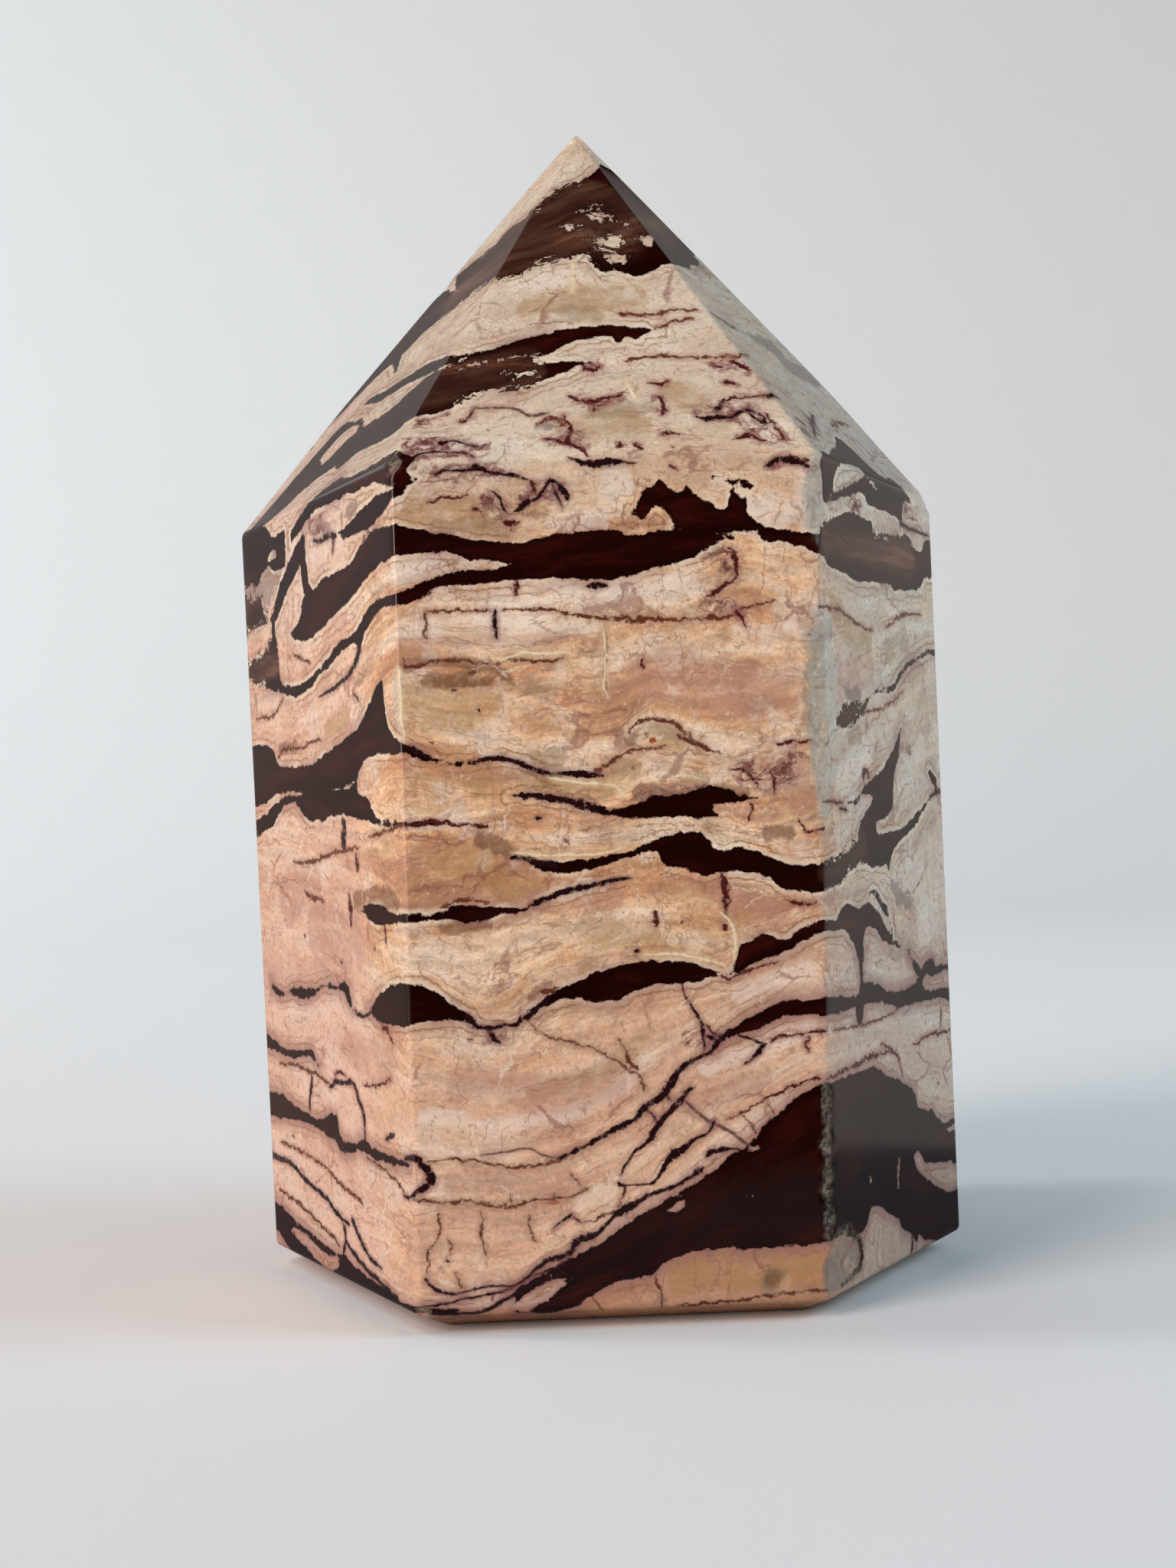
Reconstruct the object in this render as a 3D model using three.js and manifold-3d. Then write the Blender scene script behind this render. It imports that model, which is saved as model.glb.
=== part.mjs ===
// A zebra jasper tower: one stone ground to six flat sides and a six-sided point, bevelled at the foot
// and polished all over. Millimetres, +Z up, the front face towards -Y, the origin under the middle.

import * as THREE from "three";
import { mergeVertices } from "three/addons/utils/BufferGeometryUtils.js";
import Module from "manifold-3d";

// The six sides as they were ground, front first and then anticlockwise seen from above.
// away: distance from the stone's axis; facing: direction of the outward normal, in degrees;
// lean: how far the side leans outwards as it goes up, in degrees.
const SIDES = [
  { name: "front", away: 26.0, facing: -88.7, lean: 0.0 },
  { name: "front right", away: 27.2, facing: -31.8, lean: 1.0 },
  { name: "back right", away: 25.6, facing: 26.8, lean: -2.0 },
  { name: "back", away: 26.3, facing: 90.0, lean: 0.0 },
  { name: "back left", away: 26.8, facing: 149.4, lean: 2.3 },
  { name: "front left", away: 26.0, facing: 209.0, lean: 0.0 },
];

// The six arrises, each between its side and the next one.
// shoulder: height where the arris turns in to the point; crown: how far grinding left the arris of
// the point bowed outwards, which is nothing on the two that bound the front facet.
const ARRISES = [
  { name: "front to front right", shoulder: 66.0, crown: 0.0 },
  { name: "right", shoulder: 64.9, crown: 0.6 },
  { name: "back right to back", shoulder: 65.7, crown: 0.5 },
  { name: "back to back left", shoulder: 65.7, crown: 0.5 },
  { name: "left", shoulder: 65.7, crown: 0.6 },
  { name: "front left to front", shoulder: 66.4, crown: 0.0 },
];

const HEIGHT = 100;
const TIP = new THREE.Vector3(0.1, 0, HEIGHT);
const TIP_ROUNDING = 0.35; // how far below the tip the arrises end
const BEVEL_UP = 1.6; // the bevel round the foot, up the sides
const BEVEL_IN = 3.4; // and in under the stone
const ARRIS_RADIUS = 0.5; // polishing takes the sharpness off each arris
const CROWN_REACH = 0.35; // the share of the point's height over which a crown rises
const POINT_STEPS = [0, 0.08, 0.16, 0.25, 0.35, 0.5, 0.65, 0.8, 0.92, 0.99]; // shares of its height

// Where the stone is chipped. at: the middle of the chip on the unbroken surface; facing, rise: the way
// it looks, in degrees round and up; width, height, depth: its size.
const CHIPS = [
  // a nick in the left arris of the point
  { at: [-12.6, 1.5, 87.2], facing: 173, rise: 40, width: 3.0, height: 2.6, depth: 0.9 },
  // a pit near the foot of the front
  { at: [12.0, -25.7, 3.0], facing: -88.7, rise: 0, width: 2.1, height: 2.0, depth: 0.9 },
  // the end of a crack at the foot of the front
  { at: [3.4, -25.9, 1.9], facing: -88.7, rise: 0, width: 0.6, height: 1.0, depth: 0.5 },
  // a flake off the left front shoulder
  { at: [-15.1, -26.3, 66.2], facing: -120, rise: 15, width: 2.6, height: 1.8, depth: 0.5 },
  // the blunted right shoulder
  { at: [29.4, -6.3, 64.9], facing: -12, rise: 25, width: 3.2, height: 2.8, depth: 0.6 },
  // the worn left front foot
  { at: [-15.1, -26.3, 1.6], facing: -120, rise: -15, width: 3.0, height: 2.2, depth: 0.6 },
  // down the right front arris: a shattered vein, a long flake, and a scar at the foot
  { at: [17.4, -25.6, 62.2], facing: -64, rise: 0, width: 3.4, height: 7.0, depth: 0.5 },
  { at: [17.1, -25.6, 46.0], facing: -70, rise: 0, width: 3.4, height: 16.0, depth: 0.6 },
  { at: [17.6, -23.1, 3.2], facing: -35, rise: 0, width: 6.2, height: 6.6, depth: 0.4 },
];

const LUMP_ROUGHNESS = 0.14; // how uneven a broken face is, as a share of the lump's size
const CHIP_DETAIL = 2; // how finely the lumps are faceted
const FLAKE_DETAIL = 0;

// A row of small flakes that has crumbled out of the right front arris.
const CRUMBLE = { from: 6.6, to: 18.4, step: 1.1, facing: -45, width: 1.7, height: 1.5, depth: 0.4 };

function towards(from, to, distance) {
  return from.clone().add(to.clone().sub(from).setLength(distance));
}

// The point of arris k at a height: where its two sides, both moved in by the same amount, cross.
function arrisPoint(k, z, movedIn = 0) {
  const [one, two] = [SIDES[k], SIDES[(k + 1) % SIDES.length]].map((side) => {
    const facing = THREE.MathUtils.degToRad(side.facing);
    const leaned = Math.tan(THREE.MathUtils.degToRad(side.lean)) * Math.max(z - BEVEL_UP, 0);
    return { x: Math.cos(facing), y: Math.sin(facing), away: side.away + leaned - movedIn };
  });
  const cross = one.x * two.y - one.y * two.x;
  const x = (one.away * two.y - two.away * one.y) / cross;
  const y = (one.x * two.away - two.x * one.away) / cross;
  return new THREE.Vector3(x, y, z);
}

// Six corners, one on each arris of the point, at a share t of the way from the shoulder to the tip.
function pointCorners(t) {
  return ARRISES.map(({ shoulder, crown }, k) => {
    const corner = arrisPoint(k, shoulder);
    const outwards = new THREE.Vector3(corner.x, corner.y, 0).normalize();
    const end = TIP.clone().add(new THREE.Vector3(0, 0, -TIP_ROUNDING));
    const bow = crown * THREE.MathUtils.smoothstep(t, 0, CROWN_REACH);
    return corner.lerp(end, t).addScaledVector(outwards, bow);
  });
}

// A ring with each corner replaced by the start, middle and end of a small arc.
function soften(corners) {
  return corners.flatMap((corner, k) => {
    const before = corners[(k + corners.length - 1) % corners.length];
    const after = corners[(k + 1) % corners.length];
    const room = 0.4 * Math.min(corner.distanceTo(before), corner.distanceTo(after));
    const half = corner.clone().sub(before).angleTo(after.clone().sub(corner)) / 2;
    const run = Math.min(ARRIS_RADIUS * Math.tan(half), room);
    const start = towards(corner, before, run);
    const end = towards(corner, after, run);
    const sagitta = run * Math.tan(half / 2);
    const middle = start.clone().add(end).multiplyScalar(0.5);
    return [start, towards(middle, corner, sagitta), end];
  });
}

// The closed skin over a stack of rings, with a fan over the lowest and one up to the tip.
function skin(rings, tip) {
  const around = rings[0].length;
  const points = rings.flat();
  const foot = points.push(new THREE.Vector3(0, 0, 0)) - 1;
  const top = points.push(tip) - 1;
  const faces = [];
  for (let k = 0; k < around; k++) {
    const next = (k + 1) % around;
    for (let row = 0; row < rings.length - 1; row++) {
      const low = row * around;
      const high = low + around;
      faces.push(low + k, low + next, high + next, low + k, high + next, high + k);
    }
    const last = (rings.length - 1) * around;
    faces.push(foot, next, k, top, last + k, last + next);
  }
  const geometry = new THREE.BufferGeometry().setFromPoints(points);
  geometry.setIndex(faces);
  return geometry;
}

// A repeatable number from -1 to 1 for a place.
function jitter(v) {
  const wave = Math.sin(v.x * 12.9898 + v.y * 78.233 + v.z * 37.719) * 43758.5453;
  return 2 * (wave - Math.floor(wave)) - 1;
}

// What has broken away at a chip: a rough lump twice as thick as the chip is deep, sunk in by half its
// half thickness, so that its outline on the surface is cos 30 of its full width and height.
function lump({ at, facing, rise, width, height, depth }, detail) {
  const ball = new THREE.IcosahedronGeometry(1, detail).deleteAttribute("normal").deleteAttribute("uv");
  const geometry = mergeVertices(ball);
  const place = geometry.attributes.position;
  const centre = new THREE.Vector3(...at);
  const v = new THREE.Vector3();
  for (let i = 0; i < place.count; i++) {
    v.fromBufferAttribute(place, i);
    v.multiplyScalar(1 + LUMP_ROUGHNESS * jitter(v.clone().addScaledVector(centre, 0.1)));
    place.setXYZ(i, v.x, v.y, v.z);
  }
  const footprint = Math.cos(Math.PI / 6);
  geometry.scale(2 * depth, width / 2 / footprint, height / 2 / footprint);
  geometry.translate(depth, 0, 0);
  geometry.rotateY(-THREE.MathUtils.degToRad(rise));
  geometry.rotateZ(THREE.MathUtils.degToRad(facing));
  geometry.translate(...at);
  return geometry;
}

// The flakes of the crumbled arris, each a little different from the next.
function crumbs() {
  const { from, to, step, facing, width, height, depth } = CRUMBLE;
  const flakes = [];
  for (let z = from; z <= to; z += step) {
    const vary = jitter(new THREE.Vector3(z, 0, 0));
    const [wide, high, deep] = [width, height, depth].map((size) => size * (1 + 0.25 * vary));
    const flake = { at: arrisPoint(0, z).toArray(), facing: facing + 20 * vary, rise: 0 };
    flakes.push(lump({ ...flake, width: wide, height: high, depth: deep }, FLAKE_DETAIL));
  }
  return flakes;
}

const wasm = await Module();
wasm.setup();

function toSolid(geometry) {
  const vertProperties = new Float32Array(geometry.attributes.position.array);
  const triVerts = new Uint32Array(geometry.index.array);
  return new wasm.Manifold(new wasm.Mesh({ numProp: 3, vertProperties, triVerts }));
}

function toGeometry(solid) {
  const mesh = solid.getMesh();
  const geometry = new THREE.BufferGeometry();
  geometry.setAttribute("position", new THREE.BufferAttribute(mesh.vertProperties, 3));
  geometry.setIndex(new THREE.BufferAttribute(mesh.triVerts, 1));
  return geometry;
}

// The polished stone before it was chipped: foot, top of the bevel, shoulder and the steps of the point.
function polishedStone() {
  const arrises = SIDES.map((side, k) => k);
  const rings = [
    soften(arrises.map((k) => arrisPoint(k, 0, BEVEL_IN))),
    soften(arrises.map((k) => arrisPoint(k, BEVEL_UP))),
    ...POINT_STEPS.map((t) => soften(pointCorners(t))),
  ];
  return skin(rings, TIP);
}

function towerGeometry() {
  let stone = toSolid(polishedStone());
  for (const missing of [...CHIPS.map((chip) => lump(chip, CHIP_DETAIL)), ...crumbs()]) {
    stone = stone.subtract(toSolid(missing));
  }
  const geometry = toGeometry(stone);
  geometry.computeBoundingBox();
  const middle = geometry.boundingBox.getCenter(new THREE.Vector3());
  geometry.translate(-middle.x, -middle.y, 0);
  return geometry;
}

const polishedJasper = new THREE.MeshStandardMaterial({ color: 0xcfae93, roughness: 0.16, metalness: 0 });
const tower = new THREE.Mesh(towerGeometry(), polishedJasper);
tower.name = "tower";

const object = new THREE.Group();
object.add(tower);

export default object;
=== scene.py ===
# %% [markdown]
# A zebra jasper tower is one stone, sawn from a banded block, ground to six flat sides and a six-sided point
# and polished all over. The imported frame already holds its solid, so this script gives that solid its fine
# skin, its dark bands and its polish. First the frame is loaded.

# %% Start from the imported frame
import math

import bpy
import numpy as np
from mathutils import Matrix, Vector


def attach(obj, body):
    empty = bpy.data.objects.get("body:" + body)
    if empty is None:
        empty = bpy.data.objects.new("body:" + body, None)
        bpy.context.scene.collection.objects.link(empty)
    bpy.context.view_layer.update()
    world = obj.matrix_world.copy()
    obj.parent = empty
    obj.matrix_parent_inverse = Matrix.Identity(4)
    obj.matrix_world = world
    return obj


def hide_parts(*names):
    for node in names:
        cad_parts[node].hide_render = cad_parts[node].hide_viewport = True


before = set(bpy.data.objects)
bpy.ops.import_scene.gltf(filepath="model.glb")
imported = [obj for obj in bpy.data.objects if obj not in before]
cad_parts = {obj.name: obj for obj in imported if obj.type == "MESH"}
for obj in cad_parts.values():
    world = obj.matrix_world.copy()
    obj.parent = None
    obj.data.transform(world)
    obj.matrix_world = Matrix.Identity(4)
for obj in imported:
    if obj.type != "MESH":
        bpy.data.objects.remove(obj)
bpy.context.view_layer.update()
MM = 0.001

# %% [markdown]
# The picture was taken straight down on a stone lying on its back, from close by. Here the stone stands up,
# so the same view is a level camera in front of it, a little below half height and tilted by two degrees.
# The lens and the distance come from the corners of the stone: the nearer foot looks larger than the far
# shoulder.

# %% The camera
FRAME_HEIGHT = 2048  # the picture's long side, which Blender's sensor height spans
FOCAL_LENGTH = 2545  # in the same pixels, from the fit to the stone's corners
SENSOR = 36.0
EYE = np.array([-0.11, -174.1, 39.0]) * MM
PITCH, ROLL = math.radians(0.9), math.radians(-2.1)


def camera_axes(pitch, roll):
    """Right, up and forward: level and looking along +Y, then pitched up, then rolled about the view."""
    forward = np.array([0, math.cos(pitch), math.sin(pitch)])
    level_right, level_up = np.array([1.0, 0, 0]), np.array([0, -math.sin(pitch), math.cos(pitch)])
    right = math.cos(roll) * level_right + math.sin(roll) * level_up
    up = -math.sin(roll) * level_right + math.cos(roll) * level_up
    return right, up, forward


right, up, forward = camera_axes(PITCH, ROLL)
camera = bpy.data.objects.new("camera", bpy.data.cameras.new("camera"))
camera.data.lens = FOCAL_LENGTH / FRAME_HEIGHT * SENSOR
camera.data.sensor_width = SENSOR
camera.data.sensor_fit = "AUTO"
camera.data.clip_start = 1 * MM
placed = Matrix([[*row, 0] for row in np.stack([right, up, -forward], axis=1)] + [[0, 0, 0, 1]])
placed.translation = EYE
camera.matrix_world = placed
bpy.context.scene.collection.objects.link(camera)
bpy.context.scene.camera = camera
print("lens", round(camera.data.lens, 2), "mm, from", round(EYE[1] / MM), "mm in front")

# %% [markdown]
# The stone is a stack of six-cornered rings: under the foot, round the shallow bevel, up the sides and up
# the point. It could be a polyhedron with a Bevel modifier, but its markings need a fine, even grid of
# vertices, so each ring is worked out as an array. All sizes in this part are millimetres, as a ruler gives
# them.

# %% The six sides and arrises, in millimetres and degrees
AWAY = np.array([26.0, 27.2, 25.6, 26.3, 26.8, 26.0])  # each side's distance from the axis, front first
FACING = np.radians([-88.7, -31.8, 26.8, 90.0, 149.4, 209.0])  # where its outward normal points
LEAN = np.radians([0.0, 1.0, -2.0, 0.0, 2.3, 0.0])  # how far it leans out as it goes up
SHOULDER = np.array([66.0, 64.9, 65.7, 65.7, 65.7, 66.4])  # where arris k, after side k, turns in
CROWN = np.array([0.0, 0.6, 0.5, 0.5, 0.6, 0.0])  # how far grinding left that arris of the point bowed
CROWN_REACH = 0.35
HEIGHT = 100.0
TIP = np.array([0.1, 0.0, HEIGHT])
TIP_ROUNDING = 0.35
BEVEL_UP, BEVEL_IN = 1.6, 3.4
ARRIS_RADIUS = 0.5
EDGE_REACH = 0.45  # how far polishing rounded the foot, the bevel and the shoulder
MIDDLE = np.array([-0.84, -0.02, 0.0])  # of the ground stone, which goes to the frame's origin


def arrises(z, moved_in=0.0):
    """The six corners at heights z: where sides k and k + 1, both moved in, cross as two lines in plan."""
    z = np.asarray(z, float)[..., None] * np.ones(6)
    nx, ny = np.cos(FACING), np.sin(FACING)
    following = np.roll(np.arange(6), -1)

    def away(k):
        return AWAY[k] + np.tan(LEAN[k]) * np.maximum(z - BEVEL_UP, 0) - moved_in

    one, two = away(np.arange(6)), away(following)
    cross = nx * ny[following] - ny * nx[following]
    x = (one * ny[following] - two * ny) / cross
    y = (nx * two - nx[following] * one) / cross
    return np.stack([x, y, z], axis=-1)


def point_corners(t):
    """The point's corners at shares t of the way up: a straight line to the tip plus a bow outwards."""
    t = np.asarray(t, float)[:, None, None]
    shoulder = np.stack([arrises(SHOULDER[k])[k] for k in range(6)])
    outwards = shoulder * [1, 1, 0] / np.linalg.norm(shoulder[:, :2], axis=1)[:, None]
    s = np.clip(t / CROWN_REACH, 0, 1)
    bow = CROWN[:, None] * s * s * (3 - 2 * s)
    return shoulder + (TIP - [0, 0, TIP_ROUNDING] - shoulder) * t + outwards * bow


# %% [markdown]
# A polished edge is never knife sharp. Where a ring of corners turns from one flat to the next, going up,
# the path is a short quadratic curve whose middle control point is the sharp corner itself.

# %% The path of the six arrises, from the middle of the foot to the tip
SIDE_ROWS, POINT_ROWS, FOOT_ROWS, BEVEL_ROWS, EDGE_ROWS = 160, 84, 16, 6, 4


def stretch(start, end, rows):
    """Rows of corners in even steps from start to end, without the last."""
    t = np.linspace(0, 1, rows, endpoint=False)[:, None, None]
    return start + (end - start) * t


def towards(start, end, distance):
    """The point a distance from start on the way to end."""
    way = end - start
    return start + way * (distance / np.linalg.norm(way, axis=-1, keepdims=True))


def turn(before, corner, after, rows):
    """A rounded corner: (1-t)^2 before + 2t(1-t) corner + t^2 after, without the last row."""
    t = np.linspace(0, 1, rows, endpoint=False)[:, None, None]
    return (1 - t) ** 2 * before + 2 * t * (1 - t) * corner + t**2 * after


def arris_path():
    """All rows of six corners, and the distance in from the foot's edge for the rows under the stone."""
    foot, bevel = arrises(0.0, BEVEL_IN), arrises(BEVEL_UP)
    shoulder = point_corners([0.0])[0]
    centre = foot * 0
    share = EDGE_REACH / np.linalg.norm(TIP - shoulder, axis=1).mean()
    foot_in, foot_out = towards(foot, centre, EDGE_REACH), towards(foot, bevel, EDGE_REACH)
    bevel_low, bevel_high = towards(bevel, foot, EDGE_REACH), towards(bevel, shoulder, EDGE_REACH)
    below = towards(shoulder, bevel, EDGE_REACH)
    above = point_corners([share])[0]
    t = share + (0.995 - share) * np.linspace(0, 1, POINT_ROWS) ** 0.92
    rows = [
        stretch(centre, foot_in, FOOT_ROWS)[1:],
        turn(foot_in, foot, foot_out, EDGE_ROWS),
        stretch(foot_out, bevel_low, BEVEL_ROWS),
        turn(bevel_low, bevel, bevel_high, EDGE_ROWS),
        stretch(bevel_high, below, SIDE_ROWS),
        turn(below, shoulder, above, EDGE_ROWS),
        point_corners(t),
    ]
    return np.concatenate(rows)


path = arris_path()
print("rows of corners:", path.shape[0])

# %% [markdown]
# Between the arrises the sides are flat. Each corner of a ring becomes a small arc, and the side between two
# arcs gets even steps: more on the three sides with the finest markings. Beside each vertex two numbers are
# kept: how far round it is, in per cent of a side, and how many millimetres one per cent is there.

# %% Rings of vertices round the arrises
STEPS = [92, 66, 32, 32, 32, 76]  # columns on each side, front first
ARC_STEPS = 5


def unit(v):
    return v / np.maximum(np.linalg.norm(v, axis=-1, keepdims=True), 1e-9)


def corner_arcs(corners):
    """For each corner, points on the circle that touches both sides: centre + r (cos, sin) of even turns."""
    before, after = np.roll(corners, 1, axis=1), np.roll(corners, -1, axis=1)
    back, on = unit(before - corners), unit(after - corners)
    half = np.arccos(np.clip((-back * on).sum(-1), -1, 1)) / 2
    near = np.minimum(
        np.linalg.norm(before - corners, axis=-1), np.linalg.norm(after - corners, axis=-1)
    )
    run = np.minimum(ARRIS_RADIUS * np.tan(half), 0.4 * near)
    radius = run / np.tan(half)
    inward, sideways = unit(back + on), unit(on - back)
    centre = corners + inward * (radius / np.cos(half))[..., None]
    arcs = []
    for share in np.linspace(-1, 1, ARC_STEPS):
        angle = share * half
        swing = -inward * np.cos(angle)[..., None] + sideways * np.sin(angle)[..., None]
        arcs.append(centre + swing * radius[..., None])
    return np.stack(arcs, axis=2), run


def rings_of(corners):
    """Vertices (rows, columns, 3), the way round in per cent of a side, and the millimetres of a per cent."""
    arcs, run = corner_arcs(corners)
    width = np.linalg.norm(corners - np.roll(corners, 1, axis=1), axis=-1)
    points, around, percent = [], [], []
    for k in range(6):
        start, end = arcs[:, k - 1, -1], arcs[:, k, 0]
        cut = 100 * run / np.maximum(width, 1e-6)
        first, last = cut[:, k - 1], 100 - cut[:, k]
        f = np.linspace(0, 1, STEPS[k] + 1)[1:-1]
        side = start[:, None] + (end - start)[:, None] * f[:, None]
        points += [side, arcs[:, k]]
        turned = np.linspace(-1, 1, ARC_STEPS) * cut[:, k, None]
        around += [100 * k + first[:, None] + (last - first)[:, None] * f, 100 * (k + 1) + turned]
        percent.append(np.repeat(width[:, k, None] / 100, len(f) + ARC_STEPS, axis=1))
    return np.concatenate(points, axis=1), np.concatenate(around, axis=1), np.concatenate(percent, axis=1)


rings, around, percent_mm = rings_of(path)
ROWS, COLUMNS = rings.shape[:2]
print("grid of", ROWS, "rows by", COLUMNS, "columns")

# %% [markdown]
# The stone isn't perfect: an arris of the point is nicked, a pit is open near the foot, and the right front
# arris is splintered and crumbling. Each chip is a shallow bowl: where the surface stands further out than
# the bowl's ellipsoid, it is set back to it. A sum of a few crossed sine waves roughens the broken faces.

# %% Chips, in the places that the solid has them
CHIPS = [  # at, facing, rise, width, height, depth
    ([-12.6, 1.5, 87.2], 173, 40, 3.0, 2.6, 0.9),  # a nick in the left arris of the point
    ([12.0, -25.7, 3.0], -88.7, 0, 2.1, 2.0, 0.9),  # a pit near the foot of the front
    ([3.4, -25.9, 1.9], -88.7, 0, 0.6, 1.0, 0.5),  # the end of a crack at the foot
    ([-15.1, -26.3, 66.2], -120, 15, 2.6, 1.8, 0.5),  # a flake off the left front shoulder
    ([29.4, -6.3, 64.9], -12, 25, 3.2, 2.8, 0.6),  # the blunted right shoulder
    ([-15.1, -26.3, 1.6], -120, -15, 3.0, 2.2, 0.6),  # the worn left front foot
    ([17.4, -25.6, 62.2], -64, 0, 3.4, 7.0, 0.5),  # a shattered vein in the right front arris
    ([17.1, -25.6, 46.0], -70, 0, 3.4, 16.0, 0.6),  # a long flake off it
    ([17.6, -23.1, 3.2], -35, 0, 6.2, 6.6, 0.4),  # a scar at its foot
]
CRUMBLE_FROM, CRUMBLE_TO, CRUMBLE_STEP = 6.6, 18.4, 1.1  # a row of small flakes out of the same arris
CRUMB = (-45, 0, 1.7, 1.5, 0.4)
FOOTPRINT = math.cos(math.pi / 6)
ROUGHNESS_SHARE = 0.16
BROKEN_FULL = 0.25  # millimetres set back at which a face counts as all broken


def ripple(p, size):
    """Smooth unevenness from -1 to 1: the mean of sines along three slanting directions."""
    ways = np.array([[1.0, 0.6, -0.4], [-0.5, 1.0, 0.7], [0.3, -0.8, 1.0]])
    return np.sin(p @ ways.T * (2 * math.pi / size) + [0.4, 2.1, 4.0]).mean(axis=-1)


def carve(points, at, facing, rise, width, height, depth):
    """Sets points back to n = depth - 2 depth sqrt(1 - x^2 - y^2), x and y as shares of the half size."""
    facing, rise = math.radians(facing), math.radians(rise)
    out = np.array([math.cos(facing) * math.cos(rise), math.sin(facing) * math.cos(rise), math.sin(rise)])
    side = np.array([-math.sin(facing), math.cos(facing), 0])
    q = points - at
    x = q @ side / (width / 2 / FOOTPRINT)
    y = q @ np.cross(out, side) / (height / 2 / FOOTPRINT)
    n = q @ out
    reach = x * x + y * y
    bowl = depth - 2 * depth * np.sqrt(np.clip(1 - reach, 0, 1))
    bowl += ROUGHNESS_SHARE * depth * (ripple(points, 1.3) + 0.6 * ripple(points, 0.6))
    set_back = np.where((reach < 1) & (n > -3 * depth), np.maximum(n - bowl, 0), 0)
    return points - set_back[..., None] * out, set_back


def chipped(points):
    """The ground surface with every chip taken out, and how deep the stone is broken at each vertex."""
    broken = np.zeros(points.shape[:-1])
    crumbs = []
    for i, z in enumerate(np.arange(CRUMBLE_FROM, CRUMBLE_TO, CRUMBLE_STEP)):
        facing, rise, width, height, depth = CRUMB
        vary = 1 + 0.3 * math.sin(2.3 * i)
        turned = facing + 18 * math.sin(1.7 * i)
        crumbs.append((arrises(z)[0], turned, rise, *np.multiply((width, height, depth), vary)))
    for chip in CHIPS + crumbs:
        points, set_back = carve(points, *chip)
        broken = np.maximum(broken, set_back)
    return points, broken


skin_points, broken = chipped(rings)
print("vertices broken away:", int((broken > 0.02).sum()), "deepest", round(float(broken.max()), 2), "mm")

# %% [markdown]
# Now the markings. The dark bands are layers of iron oxide that was laid down in the mud and folded before
# it turned to stone. A noise texture can't put a band in its own place, and an image isn't wanted, so each
# band is drawn as a mason would mark it out: an upper and a lower edge, through a few points. The way round
# is in per cent of a side, from 0 to 100 across the front, on to 200 across the right, and from 0 down to
# -100 across the left. Heights are millimetres. The back sides, from 200 to 500, carry the bands round from
# right to left.

# %% The dark bands: upper edge, lower edge
BANDS = {}
BANDS["crown of the point"] = (
    [(-100, 88.3), (-90, 88), (-72, 88.7), (-56, 88.8), (-44, 90.5), (-20, 91), (0, 91.8), (10, 92.9),
     (30, 94), (60, 94.9), (100, 96), (150, 96.7), (180, 96.4), (200, 94.2), (230, 92.5), (300, 91.2),
     (400, 89.5), (500, 88.3)],
    [(-100, 75.8), (-97, 75.6), (-93, 76.6), (-88, 78), (-83, 79), (-72, 79.9), (-66, 81), (-60, 81.9),
     (-45, 82.7), (-28, 83.5), (0, 84), (8, 84.2), (15, 84.8), (20, 85.3), (27, 85.8), (40, 85.9), (50, 86),
     (54, 85.3), (58, 84.4), (66, 84.3), (77, 83.9), (86, 84.2), (92, 84.7), (100, 85.2), (130, 85.3),
     (150, 86.2), (172, 86.6), (200, 88.3), (240, 87.5), (280, 85), (340, 82.4), (400, 80.5), (440, 78),
     (500, 75.8)])
BANDS["upper strand of the lens"] = (
    [(-70, 75.9), (-50, 76.1), (-30, 76.5), (-22, 76.7), (-5, 76.3), (5, 76.2), (12, 76.6), (25, 77.6),
     (40, 78.4), (50, 78.6), (62, 78.55), (70, 78.4), (74, 78)],
    [(-70, 75.7), (-60, 75.3), (-50, 75), (-30, 75.35), (-10, 75.25), (10, 75.3), (26, 75.9), (30, 76.15),
     (33, 76.05), (36, 76.35), (39, 76.75), (44, 77.3), (55, 77.6), (57.5, 77.5), (58.5, 77.05), (60, 77.05),
     (62, 77.5), (66, 77.25), (69, 77.7), (74, 77.95)])
BANDS["lens of the point"] = (
    [(-66, 69.8), (-60, 71.2), (-55, 71.9), (-46, 72.5), (-30, 73), (-20, 74.2), (-12, 74.85), (4, 75.1),
     (14, 75.3), (26, 76.2), (28.6, 76.2), (29.4, 75.3), (33, 75), (43, 75.3), (47, 75.05)],
    [(-66, 68.2), (-50, 69.2), (-44, 68.6), (-33, 69.5), (-12, 69.55), (-5, 70.3), (5, 70.7), (8, 71.1),
     (15, 72.5), (20, 72.7), (24, 72.6), (32, 73.4), (40, 74.2), (47, 75.05)])
BANDS["fold on the left of the point"] = (
    [(-93, 65.8), (-90, 68.8), (-86, 71.4), (-81, 73.3), (-76, 74.3), (-64, 73.9), (-58, 73.8), (-49, 72.6)],
    [(-93, 65.5), (-80, 65.8), (-74, 66.4), (-66, 67.9), (-58, 68.7), (-49, 69)])
BANDS["left shoulder"] = (
    [(-62, 64.1), (-56, 65.1), (-48, 66.2), (-36, 67.1), (-24, 66.7), (-10, 67), (0, 67.3), (5, 66.7)],
    [(-62, 63.2), (-50, 64.7), (-44, 65.2), (-28, 65.3), (-10, 65.3), (0, 64.6), (3, 65.2), (5, 66.3)])
BANDS["arm under the left shoulder"] = (
    [(-31, 62.5), (-27, 62.7), (-17, 63.6), (-6, 64.3), (0, 64.2), (3, 65.9), (5, 65)],
    [(-31, 62.3), (-27, 61.9), (-15, 62), (-5, 62.7), (0, 63.5), (5, 64.6)])
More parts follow.
